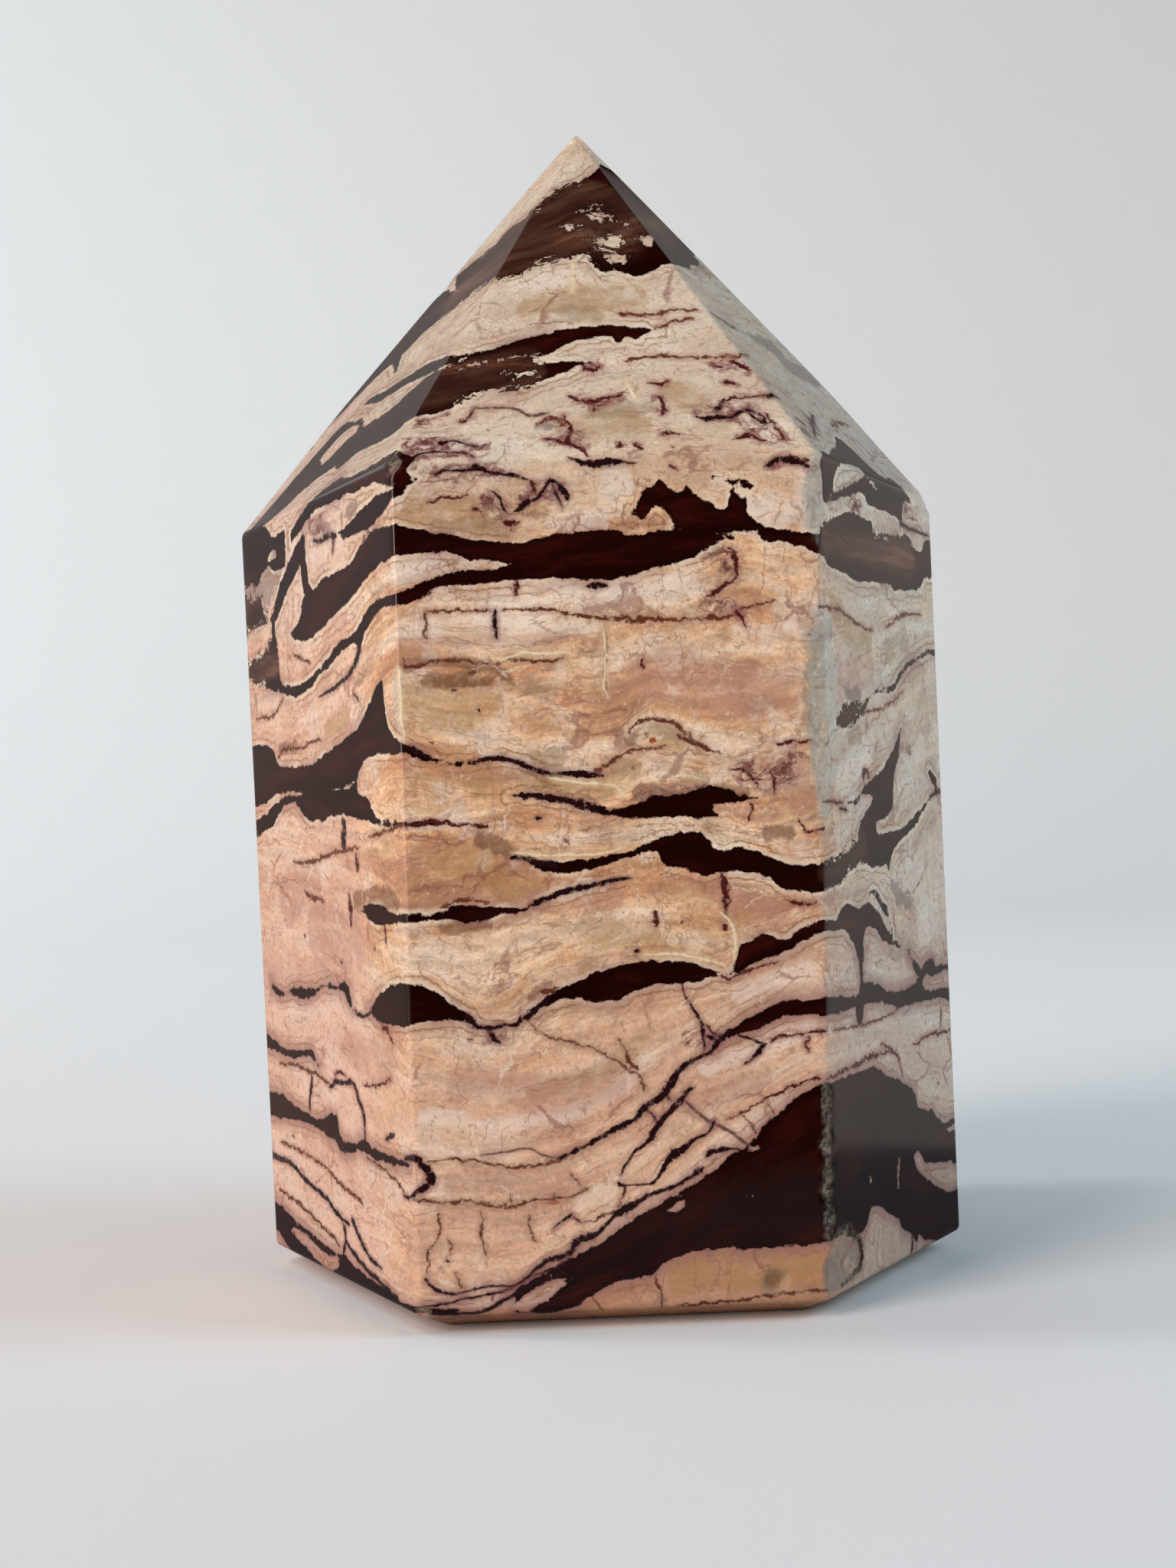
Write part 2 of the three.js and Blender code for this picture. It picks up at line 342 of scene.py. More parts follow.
BANDS["main band, upper"] = (
    [(-66, 55.5), (-61, 56.2), (-58, 57), (-56.5, 58.3), (-50, 58.5), (-40, 59.3), (-27, 59.5), (-23, 60),
     (-19, 60.8), (-10, 61.6), (0, 61.5), (10, 60.8), (20, 60.1), (29, 59.8), (35, 60.2), (50, 60.7),
     (57, 60.1), (62, 60.4), (75, 60.1), (79, 59.8)],
    [(-66, 55.3), (-62, 54.8), (-55, 54.6), (-46, 55.1), (-35, 56.1), (-25, 57), (-14, 58.4), (-8, 58.9),
     (0, 59.25), (10, 59.4), (13, 59.3), (18, 58.8), (28.5, 58.3), (32, 58), (60, 58.2), (79, 59.7)])
BANDS["main band, lower"] = (
    [(-85, 51.9), (-76, 51.4), (-66, 50.9), (-58, 51.1), (-42, 52.6), (-34, 53.7), (-30, 53.8), (-24, 54.1),
     (-16, 55.6), (-10, 56.2), (0, 56.3), (5, 56.9), (10, 57.5), (15, 57.9), (22, 57.95), (28.5, 58.3),
     (32, 59), (60, 59), (78, 59.7)],
    [(-85, 51.2), (-73, 50.45), (-65, 50.05), (-58, 50.2), (-48, 51.3), (-37, 52.4), (-28, 53.3),
     (-24, 53.4), (-22, 52.9), (-18, 53.9), (-10, 55.2), (-5, 55.6), (0, 55.5), (7, 55.9), (9, 56.6),
     (12, 56.8), (27, 57), (35, 57.1), (50, 56.85), (55, 57.1), (60, 57.5), (70, 58.3), (78, 59.6)])
BANDS["arm rising from the main band"] = (
    [(57, 62), (58.2, 62.9), (59.4, 63.7), (61.2, 63.75), (62.7, 64.3), (64, 64), (65.4, 63.6), (67, 63.4),
     (68.4, 63.5), (69.2, 63.75), (70.6, 63.2), (73, 62.7), (75, 62.4), (77.2, 61.9), (78.4, 61.9),
     (79, 62.6), (79.6, 63.5), (81, 63), (83.2, 62.2), (83.9, 61.4), (85.4, 60.9), (88, 60.25)],
    [(57, 61.7), (58.4, 61.3), (60.2, 61.9), (61, 62.3), (62.7, 62.2), (64.7, 61.7), (66.6, 61), (68, 60.6),
     (70, 60.5), (77, 60.1), (88, 60.1)])
BANDS["block on the right"] = (
    [(85, 60), (87, 60.3), (95, 60), (100, 59.8), (104, 60.5), (109, 61.1), (117, 61.7), (128, 62.2),
     (134, 61.9), (144, 61.75), (145.5, 61), (148, 60.85), (158, 60.8), (166, 61.2), (178, 61.4),
     (181, 60.7), (185, 60.3), (190, 60.5), (193, 61.3), (200, 61.5), (230, 61.6), (290, 61), (360, 62),
     (440, 61.3), (500, 60.4)],
    [(85, 59.9), (88, 59.4), (93, 59.2), (100, 58.4), (104, 58.1), (108, 57.5), (121, 57.3), (124, 57),
     (130, 56.8), (157, 57), (163, 56.7), (187, 57.15), (190, 57.8), (194, 58.3), (230, 58.6), (290, 60.2),
     (360, 60.9), (440, 59.9), (470, 58.5), (500, 56.6)])
BANDS["mass on the right shoulder"] = (
    [(103, 65.6), (107, 66.4), (112, 66.4), (125, 67.4), (136, 68.2), (141, 69), (147, 68.9), (151, 68.1),
     (156, 66.8), (160, 65.9), (172, 66.1), (178, 64.9), (183, 64.5)],
    [(103, 65), (104, 62.9), (106, 62.3), (109, 62.6), (119, 63.2), (131, 63.8), (138, 63.85), (142, 63.1),
     (165, 62.95), (169, 62.5), (172, 62.6), (173, 63.6), (176, 64.4), (183, 64.3)])
BANDS["slash on the right"] = (
    [(111.5, 45.2), (118, 46.6), (122, 46.95), (132, 47), (136, 47.5), (145, 48.3), (155, 48.4), (160, 48.8),
     (163, 49.5), (172, 50.6), (184, 51.5), (196, 52.1), (204, 51.7), (240, 50.2), (300, 47.5), (360, 45.4),
     (400, 45), (440, 45.5), (500, 46.3)],
    [(111.5, 45.1), (118, 45.2), (129, 45.8), (133, 46.3), (136, 47.1), (145, 48.05), (155, 48.15),
     (160, 48.4), (163, 49), (172, 50.2), (184, 51.2), (196, 51.8), (204, 51.4), (240, 49.9), (300, 47.1),
     (360, 44.2), (400, 43), (440, 42.3), (460, 41), (500, 38)])
BANDS["great band of the left"] = (
    [(-100, 46.3), (-88, 46.2), (-82, 45.5), (-80, 44.4), (-77, 44.1), (-57, 44), (-44, 44.9), (-26, 46.4),
     (-21, 47.2), (-17, 48.3), (-10, 49.95), (-8.5, 50), (-8, 48), (-5.5, 46.1), (0, 45), (6, 44),
     (13, 43.4), (17, 43.4), (23, 43.7), (29, 43.2), (35, 42.3), (43, 42.3), (48, 41.95)],
    [(-100, 38), (-85, 39.2), (-79, 40.4), (-75, 40.9), (-70, 41), (-62, 39.8), (-58, 39.3), (-52, 39.3),
     (-42, 39.7), (-36, 39.8), (-27, 39.5), (-26.4, 41.3), (-26, 42.5), (-22, 43.7), (-15, 44.3), (0, 44.15),
     (6, 43.5), (13, 43.15), (17, 43.15), (23, 43.45), (29, 42.95), (35, 42.05), (43, 41.9), (48, 41.9)])
BANDS["toe of the great band"] = (
    [(-27, 41.3), (-20, 40.9), (-17, 39.7), (-14, 39.3), (-5, 39), (8, 38.9), (19, 38.45)],
    [(-27, 39.4), (-18, 39.1), (-14, 38.85), (0, 38.6), (8, 38.65), (19, 38.4)])
BANDS["hooked lens"] = (
    [(26, 40.65), (29, 40.75), (37, 40.4), (44, 39.8), (51, 39.4), (54, 39.5), (60, 40.1), (68, 40.4),
     (74, 40.9), (77, 40.6), (79, 40.3), (83.5, 39.9)],
    [(26, 40.6), (33, 40.25), (40, 39.8), (48, 39), (54, 38.6), (64, 38.6), (73, 38.55), (74, 39.2),
     (78, 39.45), (83.5, 39.8)])
BANDS["great diagonal band"] = (
    [(26.5, 36), (30, 35.9), (36, 35.5), (44, 35.65), (52, 35.9), (58, 36.7), (64, 37.2), (67, 37.4),
     (69.5, 37.35), (72, 36.8), (75, 35.85), (77, 35.8), (79, 36.1), (83, 35.8), (90, 34.8), (94, 34.5),
     (100, 34.7), (110, 35.1), (120, 35.7), (124, 36), (129, 37.5), (132, 38.1), (140, 39.2), (141, 36.7),
     (150, 36.65), (165, 37.1), (175, 38), (194, 40)],
    [(26.5, 35.9), (30, 35.5), (33, 35), (38, 34.65), (44, 34.9), (52, 35.55), (58, 36), (60.3, 35.9),
     (61, 35.2), (67, 34.6), (72, 34), (75, 34.3), (83, 34.2), (87, 33.7), (90, 33), (98, 32.4), (104, 32.8),
     (110, 32.8), (117, 33.7), (128, 34.4), (138, 34), (148, 34), (150.5, 33.6), (152, 34.6), (160, 35.8),
     (172, 36.8), (184, 38.6), (194, 39.9)])
BANDS["star on the right"] = (
    [(118, 39.15), (126, 39.45), (132, 40.4), (140, 41.1), (148, 41.9), (156, 43.2), (160, 44.2),
     (164.6, 45.2)],
    [(118, 39.05), (123, 39), (131, 39.85), (139.5, 39.6), (140.5, 37.6), (152, 38.25), (155, 38.5),
     (156.5, 41.2), (161, 42.9), (164.6, 45.1)])
BANDS["left lens"] = (
    [(-26, 32.1), (-20, 32.6), (-14, 32.5), (-8, 31.95), (9, 32), (12, 32.5), (18, 32.3), (28, 32)],
    [(-26, 32), (-20, 31.2), (-15, 31), (-8, 31.25), (9, 31.4), (18, 31.2), (21, 31.6), (28, 31.9)])
BANDS["thread over the middle"] = (
    [(27, 32), (33, 32.8), (37, 33.25), (44, 33.75), (52, 34.05)],
    [(27, 31.9), (33, 32.45), (37, 32.85), (44, 33.45), (52, 34)])
BANDS["lower band"] = (
    [(29, 24.3), (33, 25.3), (38, 26.1), (49, 27.3), (56, 27.7), (64, 27.6), (71, 27), (75, 26.55),
     (77.5, 26.7), (78.8, 27.8), (80, 28.7), (86, 29.3), (90, 28.9), (94, 29.6), (100, 30.25), (107, 30.2),
     (111, 30.9), (116, 31.3), (124, 30.8), (132, 31.2), (138, 30.6), (145, 29.2), (151, 28.2), (157, 27.3)],
    [(29, 24.1), (34, 24.9), (40, 25.2), (45, 24.8), (49, 24.8), (55, 25.7), (62, 26), (70, 26.1),
     (73, 26.4), (78, 26.45), (83, 27.3), (91, 28.1), (95, 28.9), (100, 29.55), (112, 29.4), (119, 28.5),
     (126, 26.6), (128.5, 28.6), (130, 29.3), (138, 29), (144, 27.95), (157, 27.15)])
BANDS["left foot lens"] = (
    [(-23.5, 24.15), (-17, 25.5), (-9, 26.4), (0, 26.65), (2, 26.6), (8, 25.5), (15, 23.9), (17, 23.3),
     (20, 23.1)],
    [(-23.5, 24), (-20, 23.5), (-10, 23.3), (8, 23.8), (12, 23.7), (17, 23.05), (20, 22.9)])
BANDS["left thread"] = (
    [(-92, 25), (-88, 24.5), (-84, 24.3), (-75, 24.9), (-60, 25.1), (-53, 25.7), (-42, 25.85), (-39, 26.1),
     (-37.5, 25.7)],
    [(-92, 24.5), (-87, 24), (-78, 24.4), (-71, 24.15), (-61, 24.6), (-54, 25.4), (-42, 25.5),
     (-37.5, 24.9)])
BANDS["long band of the right"] = (
    [(73, 21.2), (76, 22.1), (85, 23.7), (91, 24.3), (108, 24.3), (123, 23.9), (127, 24.9), (137, 24.5),
     (147, 23.7), (157, 23.5), (171, 24.1), (179, 25.5), (183, 25.6), (190, 24.9), (240, 24.8), (300, 22.6),
     (380, 20), (460, 20.5), (500, 20.3), (508, 19.8), (517, 19.3), (527, 19.6), (535, 19.8), (540, 18.9)],
    [(73, 21), (76, 21.6), (84, 22.4), (90, 23.15), (100, 23.1), (128, 23.2), (142, 23), (157, 22.3),
     (190, 22.2), (200, 21.7), (240, 22.6), (300, 21.2), (380, 18.8), (460, 18.7), (505, 19), (520, 18.8),
     (534, 19.2), (540, 18.5)])
BANDS["band of the left foot"] = (
    [(204, 19.1), (260, 17.8), (320, 16.4), (400, 14.8), (440, 14.5), (511, 15.2), (521, 14.6), (538, 14),
     (549, 14.9), (551.5, 14.7), (553, 13.5), (557, 12.9), (565, 13.2), (569, 13.55), (576, 13.2),
     (596, 12.9)],
    [(204, 19), (260, 17.65), (320, 16), (400, 13.9), (440, 13.2), (506, 13.1), (524, 13.5), (537, 13.5),
     (546, 12.9), (549, 13), (554, 12.1), (558, 12.1), (567, 12.7), (580, 12.4), (596, 12.75)])
BANDS["great maroon layer"] = (
    [(24, 3.3), (30, 4.3), (44, 6.6), (56, 8.8), (68, 10.9), (80, 13.5), (86, 15.2), (93, 17), (100, 17.95),
     (134, 18), (142, 17.1), (150, 16.5), (160, 15.6), (164, 15), (169, 13.4), (180, 12.7), (184, 12),
     (192, 11.3), (215, 11.5), (280, 8.5), (360, 6.3), (440, 5.8), (506, 5.2), (512, 4.8), (522, 4.3),
     (532, 3.9), (547, 3.3), (552, 3.5), (560, 2.9), (580, 2.3), (592, 2), (600, 2.2), (612, 1.8)],
    [(24, 1.5), (29, 1.3), (38, 1.9), (43, 2.9), (50, 3.7), (56, 4), (60, 4.9), (66, 5.6), (77, 5.9),
     (79, 5.6), (90, 5.8), (108, 5.9), (118, 5.4), (123, 5.5), (127, 6.5), (130, 7.1), (134, 6.9), (142, 6),
     (150, 5), (152, 4.2), (160, 3.4), (163, 2.5), (165, 3), (170, 2.3), (188, 1.4), (204, 1.8), (240, 3.2),
     (320, 2.5), (440, 2.8), (500, 3), (510, 1.9), (520, 1.3), (570, 1.2), (590, 1.6), (612, 1.6)])
BANDS["left upper dark, high"] = (
    [(-104, 66), (-88, 65.9), (-80, 65.4), (-76, 64.3), (-68, 64.5)],
    [(-104, 61.2), (-89, 60.8), (-85, 61.5), (-80, 61.9), (-72, 61.3), (-68, 61.5)])
BANDS["its way round the back"] = (
    [(360, 67.5), (410, 68.2), (440, 67.8), (496, 66)],
    [(360, 67.45), (410, 67.2), (440, 66), (480, 63), (496, 61.2)])
BANDS["left upper dark, low"] = (
    [(-104, 60.4), (-98, 60.2), (-93, 59.3), (-88, 59.6), (-84, 57.4)],
    [(-104, 56.6), (-93, 57), (-84, 57.2)])
BANDS["left elbow"] = (
    [(-106, 54.4), (-100, 53.8), (-88, 54.3), (-83, 54.7), (-80, 55.6), (-78, 57.3), (-76.5, 54),
     (-75, 51.6)],
    [(-106, 52.6), (-98, 52.3), (-90, 51.8), (-75, 51.3)])
BANDS["elbow round the back"] = (
    [(395, 53), (420, 53.4), (450, 54.2), (494, 54.4)], [(395, 52.95), (450, 53.3), (494, 52.6)])
BANDS["back lens, middle"] = (
    [(318, 33), (330, 34.6), (345, 35.4), (378, 34), (392, 33.1)],
    [(318, 32.9), (330, 32.7), (362, 33.3), (392, 33)])
BANDS["back lens, right"] = (
    [(222, 37), (240, 38.6), (262, 39.4), (285, 39.2), (320, 37.2)],
    [(222, 36.9), (240, 37.4), (285, 38.3), (320, 37.1)])
BANDS["back lens, left"] = (
    [(405, 29.4), (420, 30.6), (440, 31.2), (478, 29.9)],
    [(405, 29.3), (420, 29.5), (460, 30.1), (478, 29.8)])
BANDS["back lens of the point"] = (
    [(270, 73.8), (300, 75.3), (330, 76.4), (360, 76), (410, 73.6)],
    [(270, 73.7), (300, 73.4), (345, 74.1), (410, 73.5)])
print("dark bands:", len(BANDS))

# %% [markdown]
# Some pale stone is folded into the dark, and some of the dark is better drawn along its length than by two
# edges. An inclusion has two edges too. A stroke is a line through points, each with a third number: half
# the line's width there, in hundredths of a millimetre.

# %% Pale inclusions, then dark and pale strokes
PALE = {}
PALE["streak in the crown"] = (
    [(-104, 88.4), (-92, 87.8), (-84, 87.3), (-70, 86.3), (-64, 85.8)],
    [(-104, 86.5), (-84, 86.4), (-70, 85.7), (-64, 85.6)])
PALE["upper spot of the crown"] = (
    [(53, 91.2), (60, 91.5), (70, 91.1), (77, 90.4)], [(53, 91), (66, 89.8), (77, 90.1)])
PALE["middle spot of the crown"] = (
    [(54, 87.8), (60, 87.95), (80, 87.95), (84, 87.9)], [(54, 87.6), (60, 86.95), (77, 87.1), (84, 87.8)])
PALE["lower spot of the crown"] = (
    [(60, 86), (65, 86.3), (72, 86.2), (77, 86.1)], [(60, 85.8), (66, 85.15), (72, 85.1), (77, 85.9)])
PALE["right spot of the crown"] = (
    [(89, 87.3), (94, 88.1), (101, 88.3)], [(89, 87.1), (94, 86.9), (101, 87.6)])
PALE["lens in the left fold"] = (
    [(-73.5, 71.3), (-71, 72.5), (-66, 73.4), (-58, 73.3), (-51, 72.4)],
    [(-73.5, 71.1), (-70, 70.5), (-66, 70.2), (-56, 71.9), (-51, 72.3)])
PALE["spot in the lens"] = (
    [(23, 74.1), (26, 74.2), (29.5, 73.9)], [(23, 73.95), (26, 73.75), (29.5, 73.8)])
PALE["wedge on the right shoulder"] = (
    [(111, 63.3), (113, 64.4), (118, 65.6), (126, 66), (136, 66.1), (140.5, 65.4)],
    [(111, 63.1), (123, 63.75), (134, 64.85), (140.5, 65.35)])
PALE["tongue in the left band"] = (
    [(-106, 40.8), (-94, 40.9), (-82, 41.8), (-70, 42), (-59, 41.5)],
    [(-106, 39.4), (-94, 39.8), (-82, 41), (-70, 41.65), (-59, 41.45)])
PALE["hook of the lens"] = (
    [(73.5, 39.4), (76, 39.6), (79, 39.5)], [(73.5, 39.3), (76, 38.6), (79, 39)])
PALE["loop in the long band"] = (
    [(175, 23.75), (178, 24.4), (185, 24.2), (194, 24.4), (212, 24.2), (222, 23.6)],
    [(175, 23.6), (178, 23), (190, 22.85), (212, 23), (222, 23.5)])
PALE["fin on the right"] = (
    [(163.5, 9.6), (165, 9.95), (168, 9.6), (175, 8.5), (191, 8), (204, 7.1), (250, 6.3)],
    [(163.5, 9.4), (165, 8.6), (169, 7.8), (180, 6.3), (192, 5.2), (204, 5.1), (250, 6.1)])
PALE["fin by the back arris"] = (
    [(192, 10.6), (197, 11), (212, 10.6)], [(192, 10.5), (199, 10.2), (212, 10.4)])
PALE["tongue at the foot"] = (
    [(22.5, 2.1), (26, 3), (31, 3.9), (37, 4.1)], [(22.5, 1.9), (25, 1.6), (31, 2.4), (35, 3.3), (37, 4)])
PALE["left foot inclusion"] = (
    [(-88, 3.5), (-83, 3.9), (-75, 3.8), (-62, 2.95), (-49.5, 2.9)],
    [(-88, 3.3), (-76, 2.6), (-66, 1.7), (-62, 1.4), (-57, 1.6), (-49.5, 2.6)])
DARK_STROKES = [
    [(-74, 79.9, 40), (-68, 79.3, 35), (-62, 78.5, 20), (-56, 77.7, 5)],
    [(-79, 57, 40), (-76, 57.8, 70), (-68, 60, 80), (-60, 61.7, 90), (-54, 63.2, 40)],
    [(-56, 62.5, 70), (-55, 60.5, 70), (-53.5, 58.8, 70), (-50, 58.4, 30)],
    [(75, 64.4, 5), (78, 64.25, 14), (81, 64, 20), (83, 63.75, 35), (84.8, 63.6, 20)],
    [(72, 38.75, 25), (74, 38.6, 20), (76, 38.25, 14), (77.5, 38.05, 5)],
    [(126, 27.6, 60), (126, 26.5, 35), (126, 25.5, 30), (126.3, 24.6, 35)],
    [(124, 23.2, 70), (124, 22.5, 80), (124, 21.9, 50)],
    [(133, 31.8, 5), (136, 32, 12), (140, 31.6, 20), (145, 30.7, 28), (149, 29.7, 15), (152, 28.2, 8)],
    [(163, 27, 12), (166, 26.2, 20), (170, 25.3, 32), (174, 24.6, 30)],
    [(-38.5, 25.5, 35), (-37, 24.8, 40), (-35.5, 24.2, 25), (-34, 23.8, 8)],
    [(187, 41.9, 10), (191, 41.2, 35), (193.5, 40.8, 40), (195.5, 40.2, 10)],
]
PALE_STROKES = [
    [(142, 65.3, 8), (146, 64.9, 15), (150, 64.6, 12), (155, 64.4, 4)],
    [(-43, 41.8, 5), (-36, 41.8, 10), (-31, 42, 12), (-27, 42.4, 10)],
    [(44, 6.95, 5), (50, 7.9, 10), (56, 9, 10), (61, 9.75, 12), (66, 10.45, 5)],
    [(60, 8.6, 10), (62.5, 9, 30), (65.5, 9.55, 10)], [(80, 9.6, 6), (82, 9.75, 10), (83.5, 9.85, 4)],
    [(79.5, 12.9, 8), (82, 13.2, 14), (84.5, 13.4, 5)],
    [(150, 7.5, 10), (150.3, 8.8, 22), (151.5, 10, 12), (153.5, 10.4, 4)],
    [(127.5, 9.7, 10), (129, 9.3, 16), (130, 9, 6)], [(-80, 62.6, 30), (-77, 62.8, 45), (-74, 62.8, 30)],
    [(32, 89.3, 5), (39, 89.5, 12), (47, 89.5, 5)], [(83, 89.2, 6), (87, 89.3, 22), (91, 89.2, 6)],
]

# %% [markdown]
# Thin veins are iron that seeped along cracks. They are strokes too, in five iron tones, from orange to
# nearly black, and a pale one for cracks that healed with clear silica. They are kept apart from the beds,
# because they are thinner than the grid and have colours of their own.

# %% Veins
VEINS = {}
VEINS["brown"] = [
    [(7, 54.8, 5), (14, 54.85, 9), (22, 54.85, 6)],
    [(25, 54.8, 6), (35, 54.7, 10), (45, 54.1, 12), (50, 53.9, 10), (60, 53.7, 12), (70, 53.6, 10),
     (77, 53.7, 12), (85, 54.5, 10), (90, 54.8, 4)],
    [(6.8, 54.8, 5), (6.9, 53.8, 7), (6.8, 52.7, 3)],
    [(49, 53.3, 5), (49.3, 51.6, 6), (48.6, 50, 5), (49.4, 48.2, 3)],
    [(54, 45, 6), (57, 46, 10), (62, 46.1, 10), (66, 45.5, 12), (69, 44.6, 10), (72, 43.9, 5)],
    [(1, 51.4, 5), (2, 50.6, 12), (8, 51, 10), (14, 51.1, 8), (22, 50.7, 5)],
    [(23, 50.6, 6), (28, 51, 8), (34, 50.8, 8), (40, 51.1, 4)],
    [(46, 42.2, 14), (51, 43.2, 10), (57, 43.8, 8), (63, 43.9, 4)],
    [(66, 44.8, 20), (70, 44.1, 16), (76, 43.3, 5)],
    [(27.5, 23.9, 3), (31.5, 22.6, 4), (35, 22.1, 4), (40, 21.6, 4), (45, 21.05, 4), (48.5, 20.4, 5),
     (52, 19.6, 4), (54.5, 19, 5), (56, 17.9, 6)],
    [(49.5, 21.9, 3), (51.5, 21.2, 4), (52, 20.5, 12), (53, 20, 15), (54, 19.5, 8)],
    [(5.5, 9.5, 3), (5.7, 8.2, 7), (5, 7.5, 5), (3.4, 6.7, 5), (2.5, 5.9, 5), (2.2, 4.6, 4)],
    [(7.5, 7.3, 4), (8.1, 6.8, 6), (7.6, 6.2, 4)],
    [(15.8, 9.4, 3), (15.9, 8.4, 5), (15.3, 7.6, 8), (16.1, 6.8, 4), (16.1, 5.8, 3)],
    [(27.3, 9, 3), (27.2, 8, 4), (27.6, 7.2, 4), (29.5, 6.9, 2)],
    [(9, 4.8, 3), (9.6, 4.2, 4), (10.4, 3.5, 3)], [(37.4, 11.95, 3), (39.8, 11, 5)],
    [(85.3, 16.5, 4), (87.2, 15.8, 4)], [(79, 15.9, 3), (81, 15.2, 4), (82.6, 14.2, 4)],
    [(8, 32.3, 8), (12, 32.8, 10), (16, 32.9, 10), (20, 32.5, 5)],
    [(31, 25.6, 12), (34, 25.8, 14), (36, 26, 6)],
    [(35, 13, 9), (31, 12.6, 7), (26, 12.55, 6), (22.6, 12.5, 7), (19, 12.85, 7), (13, 13.2, 8),
     (8, 13.35, 7), (3, 13.15, 6)],
    [(42, 10.8, 6), (36, 10.1, 7), (30, 10.05, 7), (24.5, 9.75, 8), (22, 9.6, 8), (19, 9.65, 7),
     (15, 10.05, 7), (8, 10.1, 7), (6, 9.95, 5), (2, 10.3, 8), (-2, 10.3, 6)],
    [(62, 1.4, 5), (70, 1.6, 8), (84, 2, 8), (100, 2.4, 8)], [(57, 4, 5), (58.5, 2.6, 7), (59, 1.4, 4)],
    [(42, 2.6, 4), (44, 1.3, 5)],
    [(60, 75.1, 10), (70, 75.5, 14), (78, 75.4, 12), (86, 75.2, 10), (103, 75.4, 6)],
    [(62, 79.9, 12), (70, 79.8, 16), (78, 79.6, 10), (84, 80.1, 12), (96, 80, 6)],
    [(74, 78.1, 6), (80, 78.7, 12), (87, 79.1, 12), (92, 79.3, 5)],
    [(0, 74.9, 6), (20, 75.1, 8), (30, 74.9, 4)],
    [(33, 69.3, 8), (37, 69.9, 12), (41, 69.5, 10), (39, 69.1, 6)],
    [(-65, 53.6, 5), (-60, 53.2, 14), (-53, 52.6, 8)],
    [(-95, 48.8, 8), (-84, 48.7, 12), (-77, 49.4, 10), (-73, 50.1, 6)],
    [(-27, 49.6, 6), (-25, 49.2, 15), (-22.5, 48.7, 5)],
    [(-80, 45, 6), (-73, 45.7, 16), (-62, 45.6, 10), (-55, 46, 12), (-48, 46.1, 5)],
    [(-21, 37.8, 6), (-12, 38.2, 12), (0, 38.7, 10), (8, 38.9, 5)],
    [(-72, 35.7, 5), (-58, 35.9, 14), (-44, 36.6, 10), (-33, 36.9, 12), (-26, 37.1, 5)],
    [(-65, 33.4, 8), (-60, 32.9, 20), (-51, 32.6, 8)],
    [(-90, 17.9, 6), (-78, 18.2, 12), (-66, 18, 14), (-53, 17.4, 10)],
    [(-92, 11, 7), (-76, 10.8, 12), (-60, 10.3, 10), (-45, 9.1, 12), (-38, 8.8, 18), (-33, 8.3, 6)],
    [(-95, 6.6, 8), (-84, 6.3, 14), (-70, 5.6, 12), (-58, 4.8, 14), (-50, 4.2, 8)],
    [(-30, 12.3, 5), (-20, 11.9, 9), (-11, 11.3, 9), (-6, 10.3, 10)],
    [(100, 54.2, 6), (114, 54.2, 12), (124, 53.7, 12), (135, 53.1, 10), (143, 53, 4)],
    [(153, 53.4, 5), (161, 54, 10), (170, 54.7, 12), (187, 55, 6)],
    [(135, 46.4, 6), (145, 46.6, 12), (155, 47.2, 8), (168, 48.3, 5)],
    [(104, 21.9, 5), (115, 21.7, 8), (135, 21.6, 8), (155, 22.2, 5)],
    [(95, 75, 6), (103, 75.5, 10), (111, 75.6, 4)],
    [(103, 79.8, 6), (112, 79.4, 14), (120, 79.1, 16), (127, 79, 6)],
    [(150, 70.3, 8), (165, 71.1, 14), (181, 71.5, 6)],
    [(210, 46.8, 6), (250, 44.6, 14), (300, 43.2, 10), (350, 41, 5)],
    [(220, 28.2, 6), (270, 27, 14), (330, 26.2, 10), (390, 24.9, 5)],
    [(240, 66.8, 6), (290, 67.9, 14), (345, 67.1, 6)], [(410, 35.6, 6), (450, 36.4, 14), (497, 36.3, 20)],
    [(260, 54.3, 6), (310, 52.9, 14), (370, 53.9, 6)],
]
VEINS["orange"] = [
    [(31.3, 9.8, 8), (33, 9.7, 14), (34.8, 9.8, 6)], [(59.5, 44.5, 16), (60, 44.4, 20)],
]
VEINS["smoke"] = [
    [(65, 17.1, 8), (67.2, 16.4, 11), (69.4, 15.8, 11), (72, 15.25, 13), (74.2, 14.9, 11), (76.5, 14.5, 11),
     (78.4, 14, 11), (80.7, 13.5, 10)],
    [(16, 13.5, 3), (20, 13.65, 5), (24, 13.8, 6), (27, 13.95, 6), (28.2, 13.9, 6), (30, 13.5, 6),
     (33, 13.2, 7), (35, 13.05, 6)],
    [(15, 71, 6), (26, 70.9, 10), (31, 70.2, 14), (36, 70.4, 10)],
]
